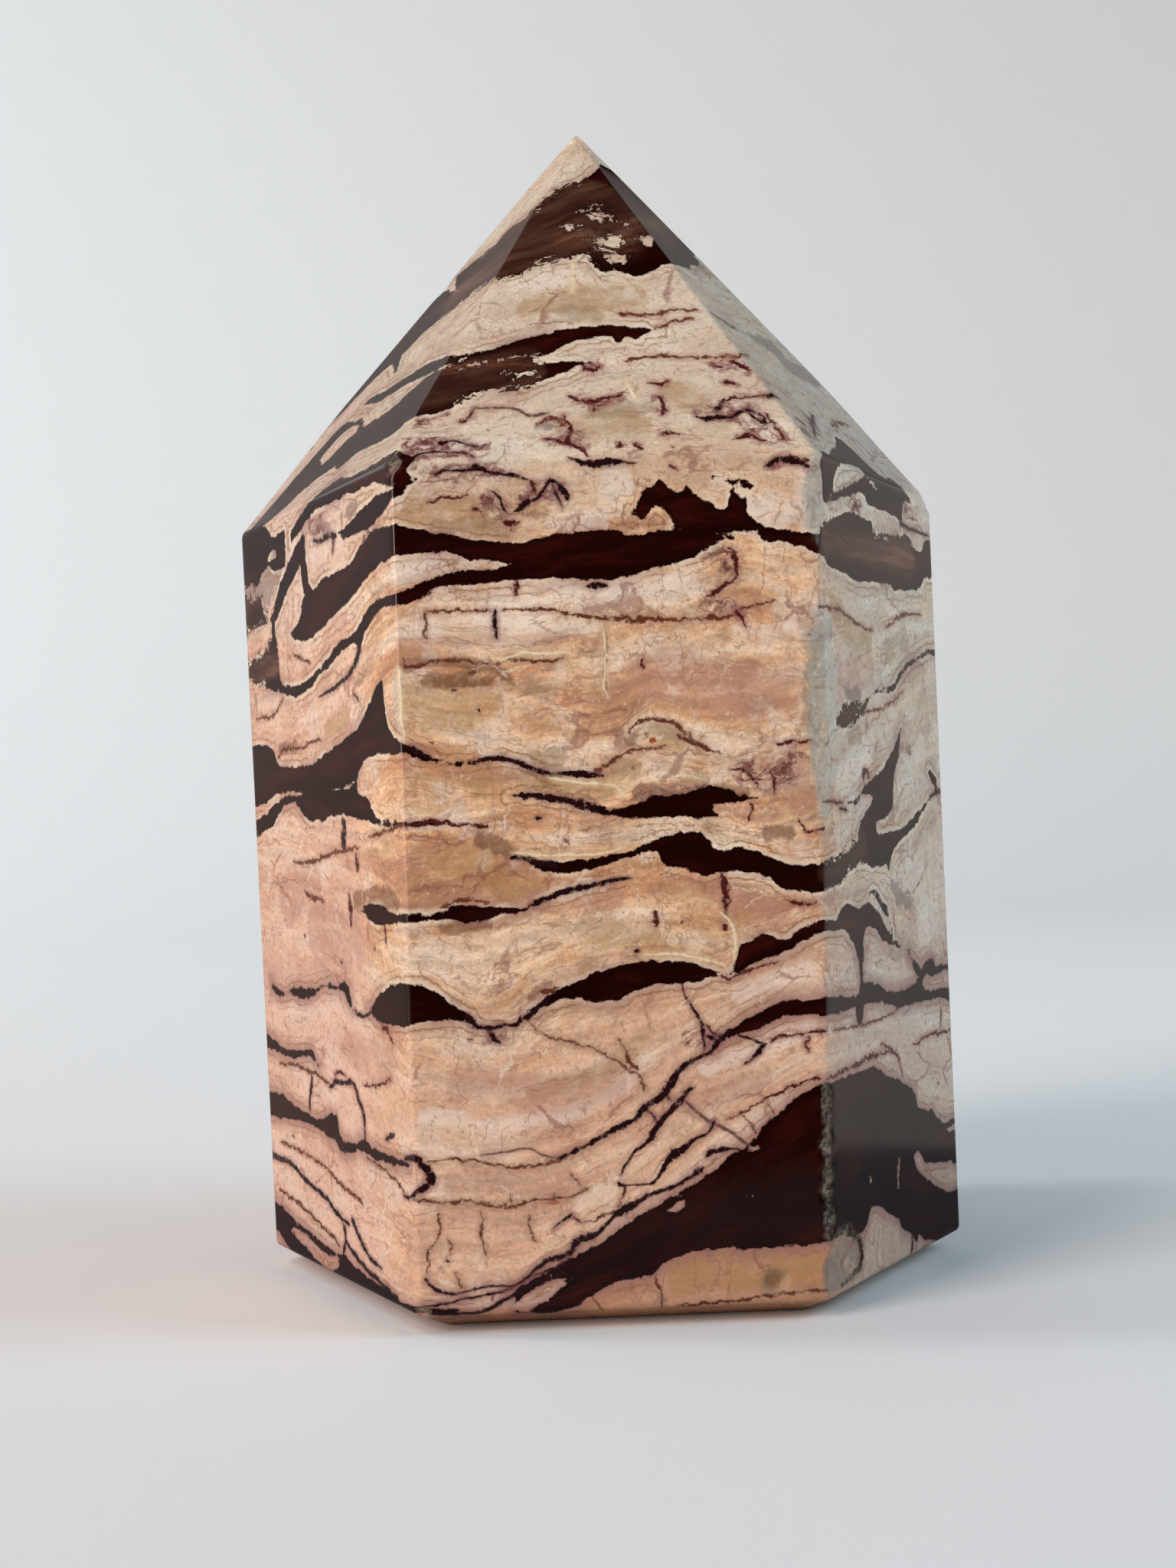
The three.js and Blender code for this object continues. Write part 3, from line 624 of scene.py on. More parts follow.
VEINS["red"] = [
    [(32.8, 64.6, 6), (33.4, 64.2, 14), (33.8, 63.6, 10)],
    [(18.6, 62.6, 5), (20, 62.4, 12), (21.6, 62.1, 5)], [(53, 66.95, 6), (54, 67.15, 12), (55, 67.35, 5)],
    [(57.6, 67.4, 5), (58.6, 66.95, 18), (59.4, 66.7, 6)], [(66.4, 67, 5), (67, 66.8, 10)],
    [(65.3, 65.5, 6), (66, 65.2, 4), (67, 64.95, 12)], [(67, 73, 6), (68, 72.8, 14), (68.6, 72.6, 5)],
    [(94.3, 69.8, 10), (94.6, 68.7, 10), (94.9, 68, 8), (93.6, 67.2, 12)],
    [(83, 70.7, 6), (85.8, 71.05, 10), (89, 71.3, 8), (94, 71.3, 5), (99, 71.2, 8)],
    [(45, 71.5, 6), (47.7, 71.2, 12), (50.2, 71, 8), (53.4, 71.25, 10)], [(48.4, 71, 5), (48.6, 70.4, 12)],
    [(64.3, 68.15, 6), (66, 68.05, 12), (67.6, 68.25, 10), (70, 68.1, 4)],
    [(26, 61.4, 10), (28, 61.3, 26), (30, 61.5, 10)], [(89, 65, 8), (93, 65.6, 24), (98, 65.4, 10)],
    [(73, 55.3, 6), (76, 55.8, 14), (80, 56.6, 10), (80.5, 57.8, 14), (79, 59, 10)],
    [(80, 54.2, 5), (81.5, 53.5, 10), (82.5, 52.8, 4)], [(28.7, 57, 10), (28.5, 56.4, 10), (28.7, 55.8, 4)],
    [(58, 50.8, 10), (57.6, 50.4, 14), (58.4, 50, 6)], [(8, 63.2, 4), (13, 63.5, 8), (18, 63.6, 4)],
    [(0, 38.7, 10), (8, 38.8, 12), (14, 38.6, 8), (20, 38.4, 5)],
    [(78, 41.9, 6), (81, 42, 12), (84.5, 40.7, 6)], [(87, 42, 5), (88.2, 41, 10), (88.5, 40, 5)],
    [(83, 39.5, 5), (82.5, 38.5, 8), (81.5, 38, 5)], [(94, 38.2, 5), (97, 37, 10), (101, 37.3, 5)],
    [(89, 43.8, 6), (93, 44, 12), (98, 44, 6)],
    [(75, 34.1, 10), (76, 33.3, 18), (76.6, 32.5, 12), (76.3, 31.8, 16), (76.2, 30.6, 5)],
    [(75.7, 30.2, 20), (76, 29.9, 20)], [(90, 32, 5), (94, 31.7, 10), (98, 31.6, 5)],
    [(59.3, 31.5, 6), (59.4, 30.9, 14), (59.3, 30.3, 6)],
    [(65.6, 26, 6), (65.4, 25.5, 6), (66, 25.1, 4), (67, 24.6, 5)],
    [(74.9, 26.4, 8), (76.5, 26.1, 8), (81.4, 26.75, 6), (88.5, 27.3, 5)],
    [(38, 8.7, 5), (40, 8.15, 5), (42, 8.2, 6), (44, 8.6, 7), (46.2, 8.8, 6), (48.3, 8.95, 6)],
    [(50.3, 10.9, 5), (50.6, 10.5, 6), (49.8, 9.8, 5), (48.6, 9.1, 5)],
    [(75, 15.4, 4), (81.9, 16.4, 7), (86.6, 17.15, 6), (89.3, 17.5, 12), (91.5, 17.85, 10), (94.2, 18.15, 7),
     (98.4, 18.45, 7)],
    [(86, 21.3, 5), (92, 21.8, 8), (100, 21.9, 6)], [(95.5, 21.7, 4), (95, 20.9, 8), (95.8, 20.3, 4)],
    [(41, 72, 6), (46, 71.4, 14), (52, 71.5, 12), (58, 72.1, 6)],
    [(67.5, 71.8, 8), (68, 70.6, 14), (66, 69.8, 6)], [(12, 69.8, 6), (15, 70.2, 14), (14.5, 71, 5)],
    [(40, 70.2, 6), (42, 68.6, 14), (41.4, 67.7, 12), (44.5, 67, 14), (46.5, 66.3, 6)],
    [(35.5, 68, 10), (38, 67.9, 12), (41, 67.5, 10), (44, 67.15, 10), (46, 66.85, 6)],
    [(88.5, 74.5, 6), (89.5, 74.2, 10), (91, 74.1, 6)],
    [(94.5, 74.7, 10), (96.5, 74.6, 16), (97.5, 74.2, 18), (99, 73.9, 10)],
    [(87.5, 72.7, 6), (89.5, 72.7, 18), (91.8, 72.5, 8)], [(46, 74.7, 8), (48.5, 74.3, 20), (51, 74.8, 8)],
    [(65, 72.9, 6), (69, 72.8, 14), (72, 73.2, 5)], [(82, 67.5, 5), (86, 67.7, 14), (90, 67.2, 6)],
    [(-34, 33.4, 10), (-33.5, 32, 30), (-33.5, 30.6, 10)],
    [(-28.5, 36.6, 10), (-28, 35.8, 26), (-28.5, 35.1, 10)],
    [(-12, 31, 12), (-12.2, 30.2, 16), (-12, 29.5, 5)], [(-30, 18.1, 5), (-22, 18.3, 10), (-12, 19.1, 6)],
    [(-49, 18.3, 8), (-45, 18.6, 12), (-41, 18.4, 6)], [(-17, 23.1, 8), (-13, 22.8, 16), (-10, 21.8, 6)],
    [(100, 18.3, 8), (118, 18.6, 14), (135, 19, 12), (152, 18.8, 6)],
    [(165, 18.8, 5), (180, 19.2, 10), (204, 19.1, 12)],
    [(139, 19.7, 5), (146, 19.2, 12), (153, 18.2, 12), (156, 16.4, 8)],
    [(190, 22, 6), (191, 20.7, 10), (189.5, 19.5, 5)],
    [(131, 40.9, 8), (132, 41.7, 16), (135, 41.6, 14), (136, 41, 8)],
    [(100, 39.4, 5), (108, 39.3, 10), (115, 39.3, 5)], [(127, 62.3, 8), (131, 62.8, 14), (134, 62.3, 8)],
]
VEINS["ink"] = [
    [(1.5, 66.5, 14), (4.3, 66.6, 12), (6.9, 67, 8), (9.9, 67.15, 8), (12.3, 67.05, 6), (17, 66.9, 5),
     (19, 66.6, 7)],
    [(9.4, 67.9, 10), (10.4, 67.9, 20), (12, 68.1, 7), (14.2, 68, 6), (19, 67.5, 6)],
    [(9.9, 65.3, 7), (13.2, 65.55, 10), (18.7, 65.5, 10), (19.8, 65.7, 26), (22.8, 65.35, 12),
     (25.7, 65.15, 8), (28.6, 65, 14), (32.4, 64.65, 5)],
    [(28.4, 62.3, 6), (30, 62.5, 16), (31.5, 62.95, 20), (33.4, 63.1, 10), (35.2, 63.45, 13),
     (36.2, 64.1, 10), (36.9, 64.6, 14), (38.3, 64.5, 12), (39.6, 64, 20), (40.8, 63.6, 26), (41.2, 63, 10)],
    [(38, 64.2, 10), (38.4, 63.5, 10), (39.2, 62.9, 6), (39.8, 62.4, 3)],
    [(23.5, 63.95, 8), (24.6, 63.5, 7), (25.6, 63.2, 9), (25.8, 62.7, 9), (26.9, 62.2, 9)],
    [(41.5, 66.3, 5), (43, 66.1, 12), (45, 65.8, 20), (48, 65.75, 28), (51, 65.8, 26), (53.5, 65.75, 16),
     (56, 65.6, 7), (58, 65.7, 4)],
    [(67, 24.5, 6), (68, 24, 9), (69, 23.4, 10), (69.9, 22.7, 14), (70.1, 22.1, 14), (70.3, 21.5, 8),
     (70.4, 20.8, 5)],
    [(70.3, 22.6, 6), (71.3, 22.6, 8), (72, 22.2, 6), (73, 21.9, 10), (74.5, 21.7, 6)],
    [(71.3, 21.8, 14), (73, 21.5, 14)],
    [(13.5, 24.2, 20), (15.3, 23.4, 19), (16.5, 23.2, 13), (20.6, 23.15, 12), (22.8, 23.3, 10),
     (25, 23.2, 12), (26.6, 23.6, 15), (28.6, 23.95, 19), (31, 24.5, 16), (33.5, 25.1, 20)],
    [(18.8, 23, 14), (19.6, 22.6, 16), (20.2, 22.2, 14), (21.7, 22, 8)],
    [(49, 10.95, 15), (50.7, 10.9, 6), (55.6, 10.85, 6), (57.2, 10.9, 9), (58, 11.2, 13), (59, 11.7, 13),
     (60.2, 12.3, 24), (61.5, 12.75, 28), (63.1, 13.2, 25), (64.7, 13.45, 25), (66, 13.75, 20),
     (67.4, 14.1, 13), (69.4, 14.4, 10), (71, 14.55, 8), (72, 15.1, 10), (72.7, 15.4, 12)],
    [(33.2, 7.75, 6), (34.2, 8.2, 10), (36, 8.6, 8), (37.6, 8.85, 14)], [(7.2, 5.8, 6), (7.1, 5.6, 12)],
    [(5.4, 5.15, 10), (5.2, 5.1, 10)], [(23, 10.3, 4), (23, 9.9, 14)], [(33, 10.3, 10), (33, 10.1, 10)],
    [(26, 40.7, 7), (30, 40.65, 12), (35, 40.4, 20), (40, 40, 26), (46, 39.5, 30)],
    [(26.5, 36, 12), (31, 35.6, 20), (36, 35.2, 26)],
    [(30, 32.2, 8), (37, 33.1, 18), (44, 33.6, 18), (50, 34, 12), (54, 34.15, 5)],
    [(17, 43.3, 12), (22, 43.6, 14), (28, 43.1, 14), (35, 42.2, 16), (42, 42.1, 14), (48, 41.9, 10)],
    [(45, 56.4, 8), (47.5, 56.4, 24), (50, 56.35, 8)], [(23.5, 54.9, 12), (23.3, 53.8, 16), (23.5, 52.5, 5)],
    [(13, 48.8, 20), (13.3, 48.8, 20)], [(18.8, 47.2, 14), (19, 47.2, 14)],
    [(0, 44.6, 25), (3, 44.4, 20), (7, 43.8, 14)], [(32, 38.9, 28), (32.3, 38.9, 28)],
    [(54.8, 28.4, 28), (55, 28.4, 28)], [(14.2, 22.3, 16), (14.5, 22.3, 14)],
    [(34.5, 12.95, 10), (38, 13.5, 14), (43.7, 14.3, 18), (47.5, 14.95, 19), (50, 15.3, 20), (53, 15.8, 20),
     (55.4, 16.4, 20), (57.2, 17.05, 26), (59, 17.25, 20), (60.2, 17.55, 26), (61.5, 18, 20),
     (62.4, 18.45, 25), (63.4, 18.95, 28), (64.7, 19.4, 22), (66.6, 19.9, 20), (68.5, 20.25, 22),
     (70.2, 20.4, 12), (71.8, 20.6, 10), (73, 20.95, 17), (74.3, 21.4, 18), (75.6, 21.9, 20),
     (77, 22.2, 20)],
    [(78.7, 21.8, 8), (81.3, 21.6, 7), (83, 21.35, 8), (85.6, 21.05, 12), (84.5, 20.9, 12), (82.5, 20.3, 15),
     (81.2, 19.95, 10), (79.6, 19.65, 5)],
    [(67.6, 18.1, 10), (66, 17.8, 13), (65, 17.4, 15), (63.8, 16.9, 22), (62.6, 16.5, 22), (61.3, 16.15, 20),
     (60, 15.65, 20), (58.5, 15.2, 16), (57.5, 14.7, 22), (57, 14.35, 20), (55.8, 14, 10), (54.4, 13.6, 12),
     (53, 13.4, 12), (52, 12.9, 9), (50.4, 12.3, 8), (49.2, 11.7, 8)],
    [(61.2, 17.5, 14), (62.2, 17.1, 8)], [(56.3, 16.3, 5), (57.6, 16, 6), (58.6, 15.4, 5)],
    [(1.5, 4.35, 14), (3, 3.9, 10), (4.5, 3.5, 14), (7, 3.25, 9), (10, 3.2, 7), (13, 3.45, 7), (16, 3.6, 7),
     (22, 3.55, 6), (24.5, 3.85, 8), (27, 4.4, 10), (30, 5.2, 14), (32, 5.55, 18), (35, 5.65, 16),
     (37.5, 6.2, 20), (39, 6.8, 28), (41.5, 7.1, 20), (43.5, 7.3, 14), (45.5, 7.9, 14), (47, 8.4, 14),
     (49.3, 8.85, 24), (51, 9.05, 24), (53, 9.4, 20), (56, 9.95, 16), (60, 10.35, 14), (64, 10.85, 12),
     (67, 11.35, 14), (69.3, 11.85, 20)],
    [(70.4, 12.6, 8), (71.4, 13, 16), (73, 13.15, 22), (75, 13.3, 14), (77, 13.3, 7), (79, 13, 10)],
    [(0.5, 2.3, 8), (5, 2.4, 8), (10.5, 2.7, 9), (17, 3, 8), (20.3, 3.15, 10), (24.2, 3.65, 12),
     (28.2, 4.3, 14), (32.8, 4.8, 14), (37, 5.5, 16)],
    [(3, 1.7, 10), (7.6, 1.6, 13), (13, 1.7, 11), (17.9, 2.1, 10), (22, 2.7, 13), (26, 3.35, 14),
     (30.5, 3.9, 15), (35, 4.5, 16)],
    [(-6, 13.2, 14), (0, 13.5, 25), (3, 12.6, 28), (4.3, 11.9, 26), (1, 11.1, 20), (-2, 10.5, 14),
     (-7, 10.3, 8)],
    [(-35, 62.5, 20), (-35, 61.9, 15), (-36, 61, 6)],
    [(-33, 62.4, 20), (-38, 62.6, 25), (-43, 62.4, 20), (-48, 62.7, 8)],
    [(-21, 53.6, 30), (-22, 52.5, 26), (-24, 51.8, 22), (-30, 50.8, 20), (-38, 50.1, 18), (-49, 49.6, 5)],
    [(-36, 39.4, 25), (-35.6, 38.5, 35), (-36.4, 37.5, 50), (-36, 36.9, 20)],
    [(-66, 29.5, 20), (-65.5, 29.5, 20)], [(-41, 27.6, 18), (-40.5, 27.6, 18)],
    [(-19.5, 29.1, 14), (-19, 29.1, 14)], [(-33, 24, 10), (-32, 23.6, 12), (-28, 23.6, 14), (-22, 24.1, 12)],
    [(-65, 17.7, 22), (-66, 16.8, 24), (-67.5, 15.5, 24), (-68, 14.6, 15)],
    [(-53, 17, 16), (-48, 17.7, 20), (-41, 17.9, 20), (-37, 18, 20), (-33, 16.6, 20), (-30.5, 15.8, 26),
     (-30, 14.5, 12), (-30, 13.5, 10)],
    [(-17, 14.2, 10), (-14, 14.6, 26), (-11, 14.8, 8)],
    [(-104, 9.5, 36), (-92, 9.45, 25), (-85, 9.4, 20), (-74, 8.5, 20), (-60, 7.7, 20), (-50, 6.6, 20),
     (-43, 6.2, 16)],
    [(-41, 6.8, 25), (-35, 5.2, 22), (-28, 4.1, 16), (-22, 3.9, 6)],
    [(-47, 6, 20), (-46, 5, 20), (-48, 3.6, 16)],
    [(-46, 4.8, 20), (-37, 3.6, 20), (-24, 2.7, 20), (-13, 2.1, 20)],
    [(106, 62.5, 10), (118, 63.3, 25), (127, 63.9, 35), (141, 65.4, 16)],
    [(170, 62.4, 20), (178, 62.1, 16), (198, 61.9, 8)], [(112, 38.75, 10), (118, 38.65, 12)],
    [(118, 5.3, 20), (121, 4.6, 25), (122, 3.6, 20), (119, 2.6, 20), (110, 1.9, 14)],
    [(160, 3.3, 12), (159.5, 2.5, 16), (159, 1.8, 10)], [(188, 39.4, 6), (196, 39.9, 20), (215, 39.7, 6)],
    [(75.5, 69.6, 10), (78.2, 69.4, 20), (81.3, 69.55, 20), (84.6, 69.5, 12), (87.6, 69.9, 10),
     (90, 70.1, 10), (92.4, 69.8, 6)],
    [(80.6, 70, 10), (82.6, 70.35, 14), (84, 70.7, 6)],
    [(90, 69.7, 10), (91, 69.2, 14), (92.2, 68.9, 16), (93.3, 69.2, 10), (92.6, 69.8, 6)],
    [(88, 65, 10), (92, 65.6, 26), (98, 65, 14)], [(96, 71.4, 5), (101, 71.4, 16), (106, 71.3, 5)],
    [(113, 68, 5), (124, 69.6, 20), (136, 70.9, 8)], [(499, 9.5, 34), (480, 10.4, 20), (450, 10.9, 6)],
    [(215, 51.4, 6), (200, 51.8, 14), (190, 51.9, 6)],
]
VEINS["pale"] = [
    [(35, 41.9, 2.4), (40, 41.6, 4.8), (45, 41.4, 6), (50, 41.3, 4.8), (54, 41, 2.4)],
    [(50, 41.3, 2.4), (51.6, 40.9, 4.8), (53, 40.2, 3)],
    [(24, 50.9, 2.4), (30, 51.5, 6), (37, 51.3, 6), (40, 51.5, 3)],
    [(48.6, 53.2, 2), (49.2, 51, 3), (48.4, 49, 3), (49.4, 47.8, 2)],
    [(26, 36.3, 2.4), (34, 36, 4.8), (44, 36, 4.8), (52, 36.3, 3.6)],
    [(60, 38.3, 2.4), (63, 37.9, 5.4), (65, 37.7, 3.6)],
    [(75, 31.2, 1.8), (77.6, 30.4, 6), (78.4, 28.9, 6), (78, 27.6, 3)],
    [(56, 28.2, 1.8), (64, 28.2, 4.8), (72, 27.6, 4.8), (76, 27.2, 2.4)],
    [(0.4, 50.6, 6), (0.6, 47, 7.2), (1, 44.9, 3.6)], [(58, 73.1, 4.8), (59.6, 72.4, 12), (60.4, 71.5, 6)],
    [(41, 85.6, 1.8), (42, 84, 3.6), (41.4, 82, 1.8)],
]
print("veins:", {tone: len(strokes) for tone, strokes in VEINS.items()})

# %% [markdown]
# Large soft stains complete the drawing, again as strokes, but broad ones. Then come the guides of the
# bedding: curves that follow single layers all the way round, from which the lamination between the bands is
# worked out.

# %% Stains and bedding guides
TINTS = {}
TINTS["ochre"] = [
    [(28, 17.9, 25), (37, 18.6, 30), (43.6, 19.2, 35), (49.6, 20.3, 35), (53, 21.3, 35), (58, 22.7, 30)],
    [(0, 61.6, 40), (12, 61.9, 50), (24, 61.4, 30)],
    [(1, 48.5, 100), (8, 48.2, 200), (17, 48.2, 200), (23, 48.5, 100)],
    [(15, 41.3, 60), (28, 41.3, 90), (50, 40.9, 50)],
    [(6, 36.4, 50), (18, 35.4, 120), (26, 33.8, 80), (34, 33.6, 40)],
    [(62, 3.4, 100), (75, 4.2, 130), (97, 3.6, 150)], [(40, 68.4, 80), (52, 69.2, 130), (62, 69, 70)],
    [(4, 62.6, 60), (20, 62.9, 60), (36, 62, 40)], [(60, 45, 60), (72, 42.6, 50)],
    [(42, 30.5, 100), (55, 29.5, 90), (66, 28.8, 60)], [(70, 72, 100), (84, 69.4, 100)],
    [(20, 80.6, 80), (50, 81.5, 100), (75, 81.6, 70)], [(108, 54.4, 70), (125, 52.6, 90), (140, 51.8, 60)],
    [(-30, 47.6, 70), (-45, 46.8, 50)], [(250, 50, 160), (285, 50.4, 200), (315, 49.6, 100)],
    [(420, 33.6, 120), (455, 33.4, 140)], [(330, 57, 100), (385, 57.5, 140)],
    [(300, 24, 120), (370, 22.4, 80)],
]
TINTS["chalk"] = [
    [(83, 62, 50), (88, 61.8, 100), (93, 61.4, 100)], [(97, 62, 60), (98, 64.6, 60)],
    [(39.5, 9.7, 35), (43, 10, 60), (47, 10.3, 60)], [(41, 9.6, 30), (46, 9.8, 50)],
    [(0, 53.7, 50), (22, 53.6, 60), (47, 53.2, 40)], [(80, 52.5, 30), (90, 52.5, 50), (100, 52.5, 30)],
    [(0, 58, 90), (12, 58.5, 40)], [(128, 38.8, 40), (140, 39, 40)], [(165, 33, 180), (198, 33, 240)],
    [(175, 28.6, 120), (200, 29, 160)], [(36, 61.2, 20), (50, 61.4, 40)],
    [(70, 19.4, 40), (84, 21.2, 50), (97, 22.4, 40)], [(78, 25, 40), (97, 26.9, 50)],
    [(2, 16.8, 30), (20, 15.9, 35), (35, 16.2, 40), (50, 18.4, 35), (58, 20.6, 30)],
    [(98, 60, 60), (98.5, 63, 90), (98, 65.5, 60)], [(30, 56, 60), (70, 56.4, 60)],
    [(-45, 40.6, 60), (-30, 43, 40)], [(10, 83, 50), (44, 84.2, 60)],
    [(112, 40.6, 80), (130, 43, 100), (140, 44.6, 60)], [(160, 42.2, 40), (184, 43.8, 100)],
    [(-66, 62.4, 50), (-57, 63.4, 50)], [(50, 63.2, 60), (56, 64, 50)], [(240, 30.4, 120), (300, 31.4, 160)],
    [(430, 25.4, 100), (480, 26, 100)], [(310, 63.8, 80), (400, 63.4, 80)],
]
TINTS["rose"] = [
    [(55, 49.8, 130), (75, 48.6, 200), (93, 48.4, 240)], [(0, 52.4, 25), (40, 52.5, 25)],
    [(10, 19.2, 130), (35, 17.8, 130), (50, 18.8, 80)], [(66, 16.5, 50), (86, 18.6, 60)],
    [(8, 11.6, 80), (36, 11.4, 70)], [(74, 33, 60), (90, 30.8, 90)], [(-60, 30.2, 220), (-28, 29, 180)],
    [(-80, 32.5, 200), (-55, 34.4, 120)], [(-40, 20.6, 140), (-10, 20.2, 140)],
    [(-30, 55.2, 80), (-60, 57.8, 80)], [(84, 42, 120), (97, 40.6, 140)], [(110, 48.6, 160), (140, 50, 140)],
    [(30, 32.8, 60), (50, 32.6, 80)], [(270, 36, 140), (340, 38, 160)], [(420, 41.5, 80), (470, 33, 140)],
]
TINTS["olive"] = [
    [(10, 61.2, 45), (20, 61.3, 60), (28, 61, 40)], [(29, 43, 50), (37, 43.2, 70)],
    [(50, 42.4, 35), (56, 42.4, 40)], [(66, 41.2, 60), (72, 41.6, 60)],
    [(56, 45.2, 50), (61, 45.4, 60), (66, 44.8, 50)], [(30, 48.5, 30), (37, 48.5, 35)],
    [(30, 79.6, 50), (42, 79.9, 70), (54, 79.6, 40)], [(47, 70.4, 50), (56, 70.6, 60), (65, 70.7, 50)],
    [(96, 54.5, 60), (99, 50, 80), (98, 45, 80)], [(150, 50.8, 80), (172, 52.8, 80)],
    [(120, 44.4, 50), (130, 44.8, 50)], [(340, 47.5, 80), (390, 48.5, 80)],
]
TINTS["umber"] = [
    [(8, 31, 35), (20, 31, 30)], [(-30, 32.6, 70), (-18, 33.2, 70), (-4, 32.6, 60)],
    [(56, 40.5, 35), (82, 40.3, 30)], [(18, 37.6, 30), (26, 36.1, 35)],
    [(1, 50.6, 20), (12, 51, 20), (24, 50.2, 30), (27, 48.8, 25)], [(163, 43.6, 30), (172, 43.6, 30)],
    [(6, 49.6, 30), (22, 49.4, 30)], [(29, 25.3, 30), (34, 26.2, 30)], [(86, 37.2, 30), (93, 37, 30)],
    [(-78, 45.6, 30), (-66, 45.8, 30)], [(54, 44.4, 40), (58, 45, 40)], [(440, 38.8, 40), (495, 37, 60)],
    [(205, 43.6, 50), (235, 43, 40)],
]
TINTS["ash"] = [
    [(-100, 58.5, 220), (-90, 59.5, 260), (-80, 60.6, 200), (-70, 63, 120)],
    [(-98, 64, 200), (-82, 63.6, 160)], [(-42, 63.2, 50), (-37, 63, 50)],
    [(99, 52.6, 100), (107, 52.2, 100)], [(119, 47.7, 40), (130, 47.7, 40)],
    [(100, 3.6, 130), (112, 3.6, 140), (119, 3.8, 80)], [(145, 78.4, 70), (175, 78.4, 70)],
    [(160, 76.4, 80), (195, 76.4, 100)], [(33, 69.4, 25), (40, 69.5, 25)],
    [(146, 16.2, 30), (160, 15.4, 30)], [(-26, 63.8, 30), (-20, 64, 30)], [(156, 31, 50), (167, 31, 50)],
    [(152, 32.4, 40), (160, 31.4, 40)], [(-92, 53.2, 120), (-82, 53.8, 120)],
    [(380, 64, 120), (450, 62, 160)],
]
TINTS["rust"] = [
    [(-100, 58.5, 240), (-80, 58.5, 200)], [(-100, 52.8, 160), (-78, 54, 160)],
    [(0, 88, 450), (50, 90.5, 500), (90, 92, 300)], [(-50, 86, 400), (0, 88, 450)],
    [(0, 73.5, 200), (30, 74.5, 150)], [(112, 45.8, 80), (133, 46.6, 60)], [(100, 34, 80), (130, 36, 140)],
    [(150, 92, 400), (200, 91, 400)], [(300, 88, 400), (440, 84, 400)], [(104, 60, 100), (180, 59.5, 140)],
    [(240, 60.6, 100), (330, 61, 100)],
]
TINTS["bruise"] = [
    [(2, 67.6, 100), (12, 67.4, 90), (22, 67.2, 50)], [(0, 65.2, 60), (10, 65.4, 50), (26, 65.2, 50)],
    [(36, 67.9, 40), (42, 68, 70), (46, 67, 30)], [(44, 71.6, 50), (50, 71, 70), (57, 71.9, 50)],
    [(22, 63.4, 60), (27, 61.8, 50)], [(30, 63, 50), (35, 63.6, 60), (40, 63.8, 70)],
    [(66, 71.6, 50), (69, 70, 50)], [(76, 69.6, 60), (84, 70, 80), (92, 69.4, 100)],
    [(86, 68, 70), (95, 67.6, 90)], [(88, 74.3, 60), (98, 74.4, 80)], [(88, 72.7, 40), (92, 72.6, 40)],
    [(70, 59.2, 50), (77, 59, 80), (80, 57.4, 70)], [(46, 74.6, 50), (51, 74.6, 50)],
    [(1, 70, 70), (8, 70.8, 50)], [(53, 67.1, 30), (59, 66.9, 40)],
    [(80, 42, 70), (88, 41.4, 100), (96, 43, 60)], [(56, 40.2, 40), (74, 40.5, 40)],
    [(-17, 59.4, 80), (-8, 60.2, 90)], [(-50, 63.6, 80), (-36, 63.8, 80)], [(125, 63, 60), (135, 63, 50)],
    [(17, 22.6, 50), (23, 22.4, 50)], [(66, 21.8, 50), (74, 21.6, 50)], [(72, 54.8, 50), (82, 54, 60)],
    [(170, 64, 60), (186, 63.2, 60)], [(104, 68, 80), (126, 70, 100)], [(410, 69.5, 120), (470, 71, 120)],
    [(230, 70.5, 100), (280, 72, 120)], [(480, 28.5, 80), (499, 29, 60)],
]
TINTS["splinter"] = [
    [(99.5, 58.6, 30), (100, 62, 90), (100, 65.8, 60)], [(101, 38, 60), (103, 46, 160), (102, 54, 120)],
    [(107, 41, 50), (110, 44, 90), (108, 50, 80)], [(-1.5, 44.6, 30), (0, 50.4, 40)],
]
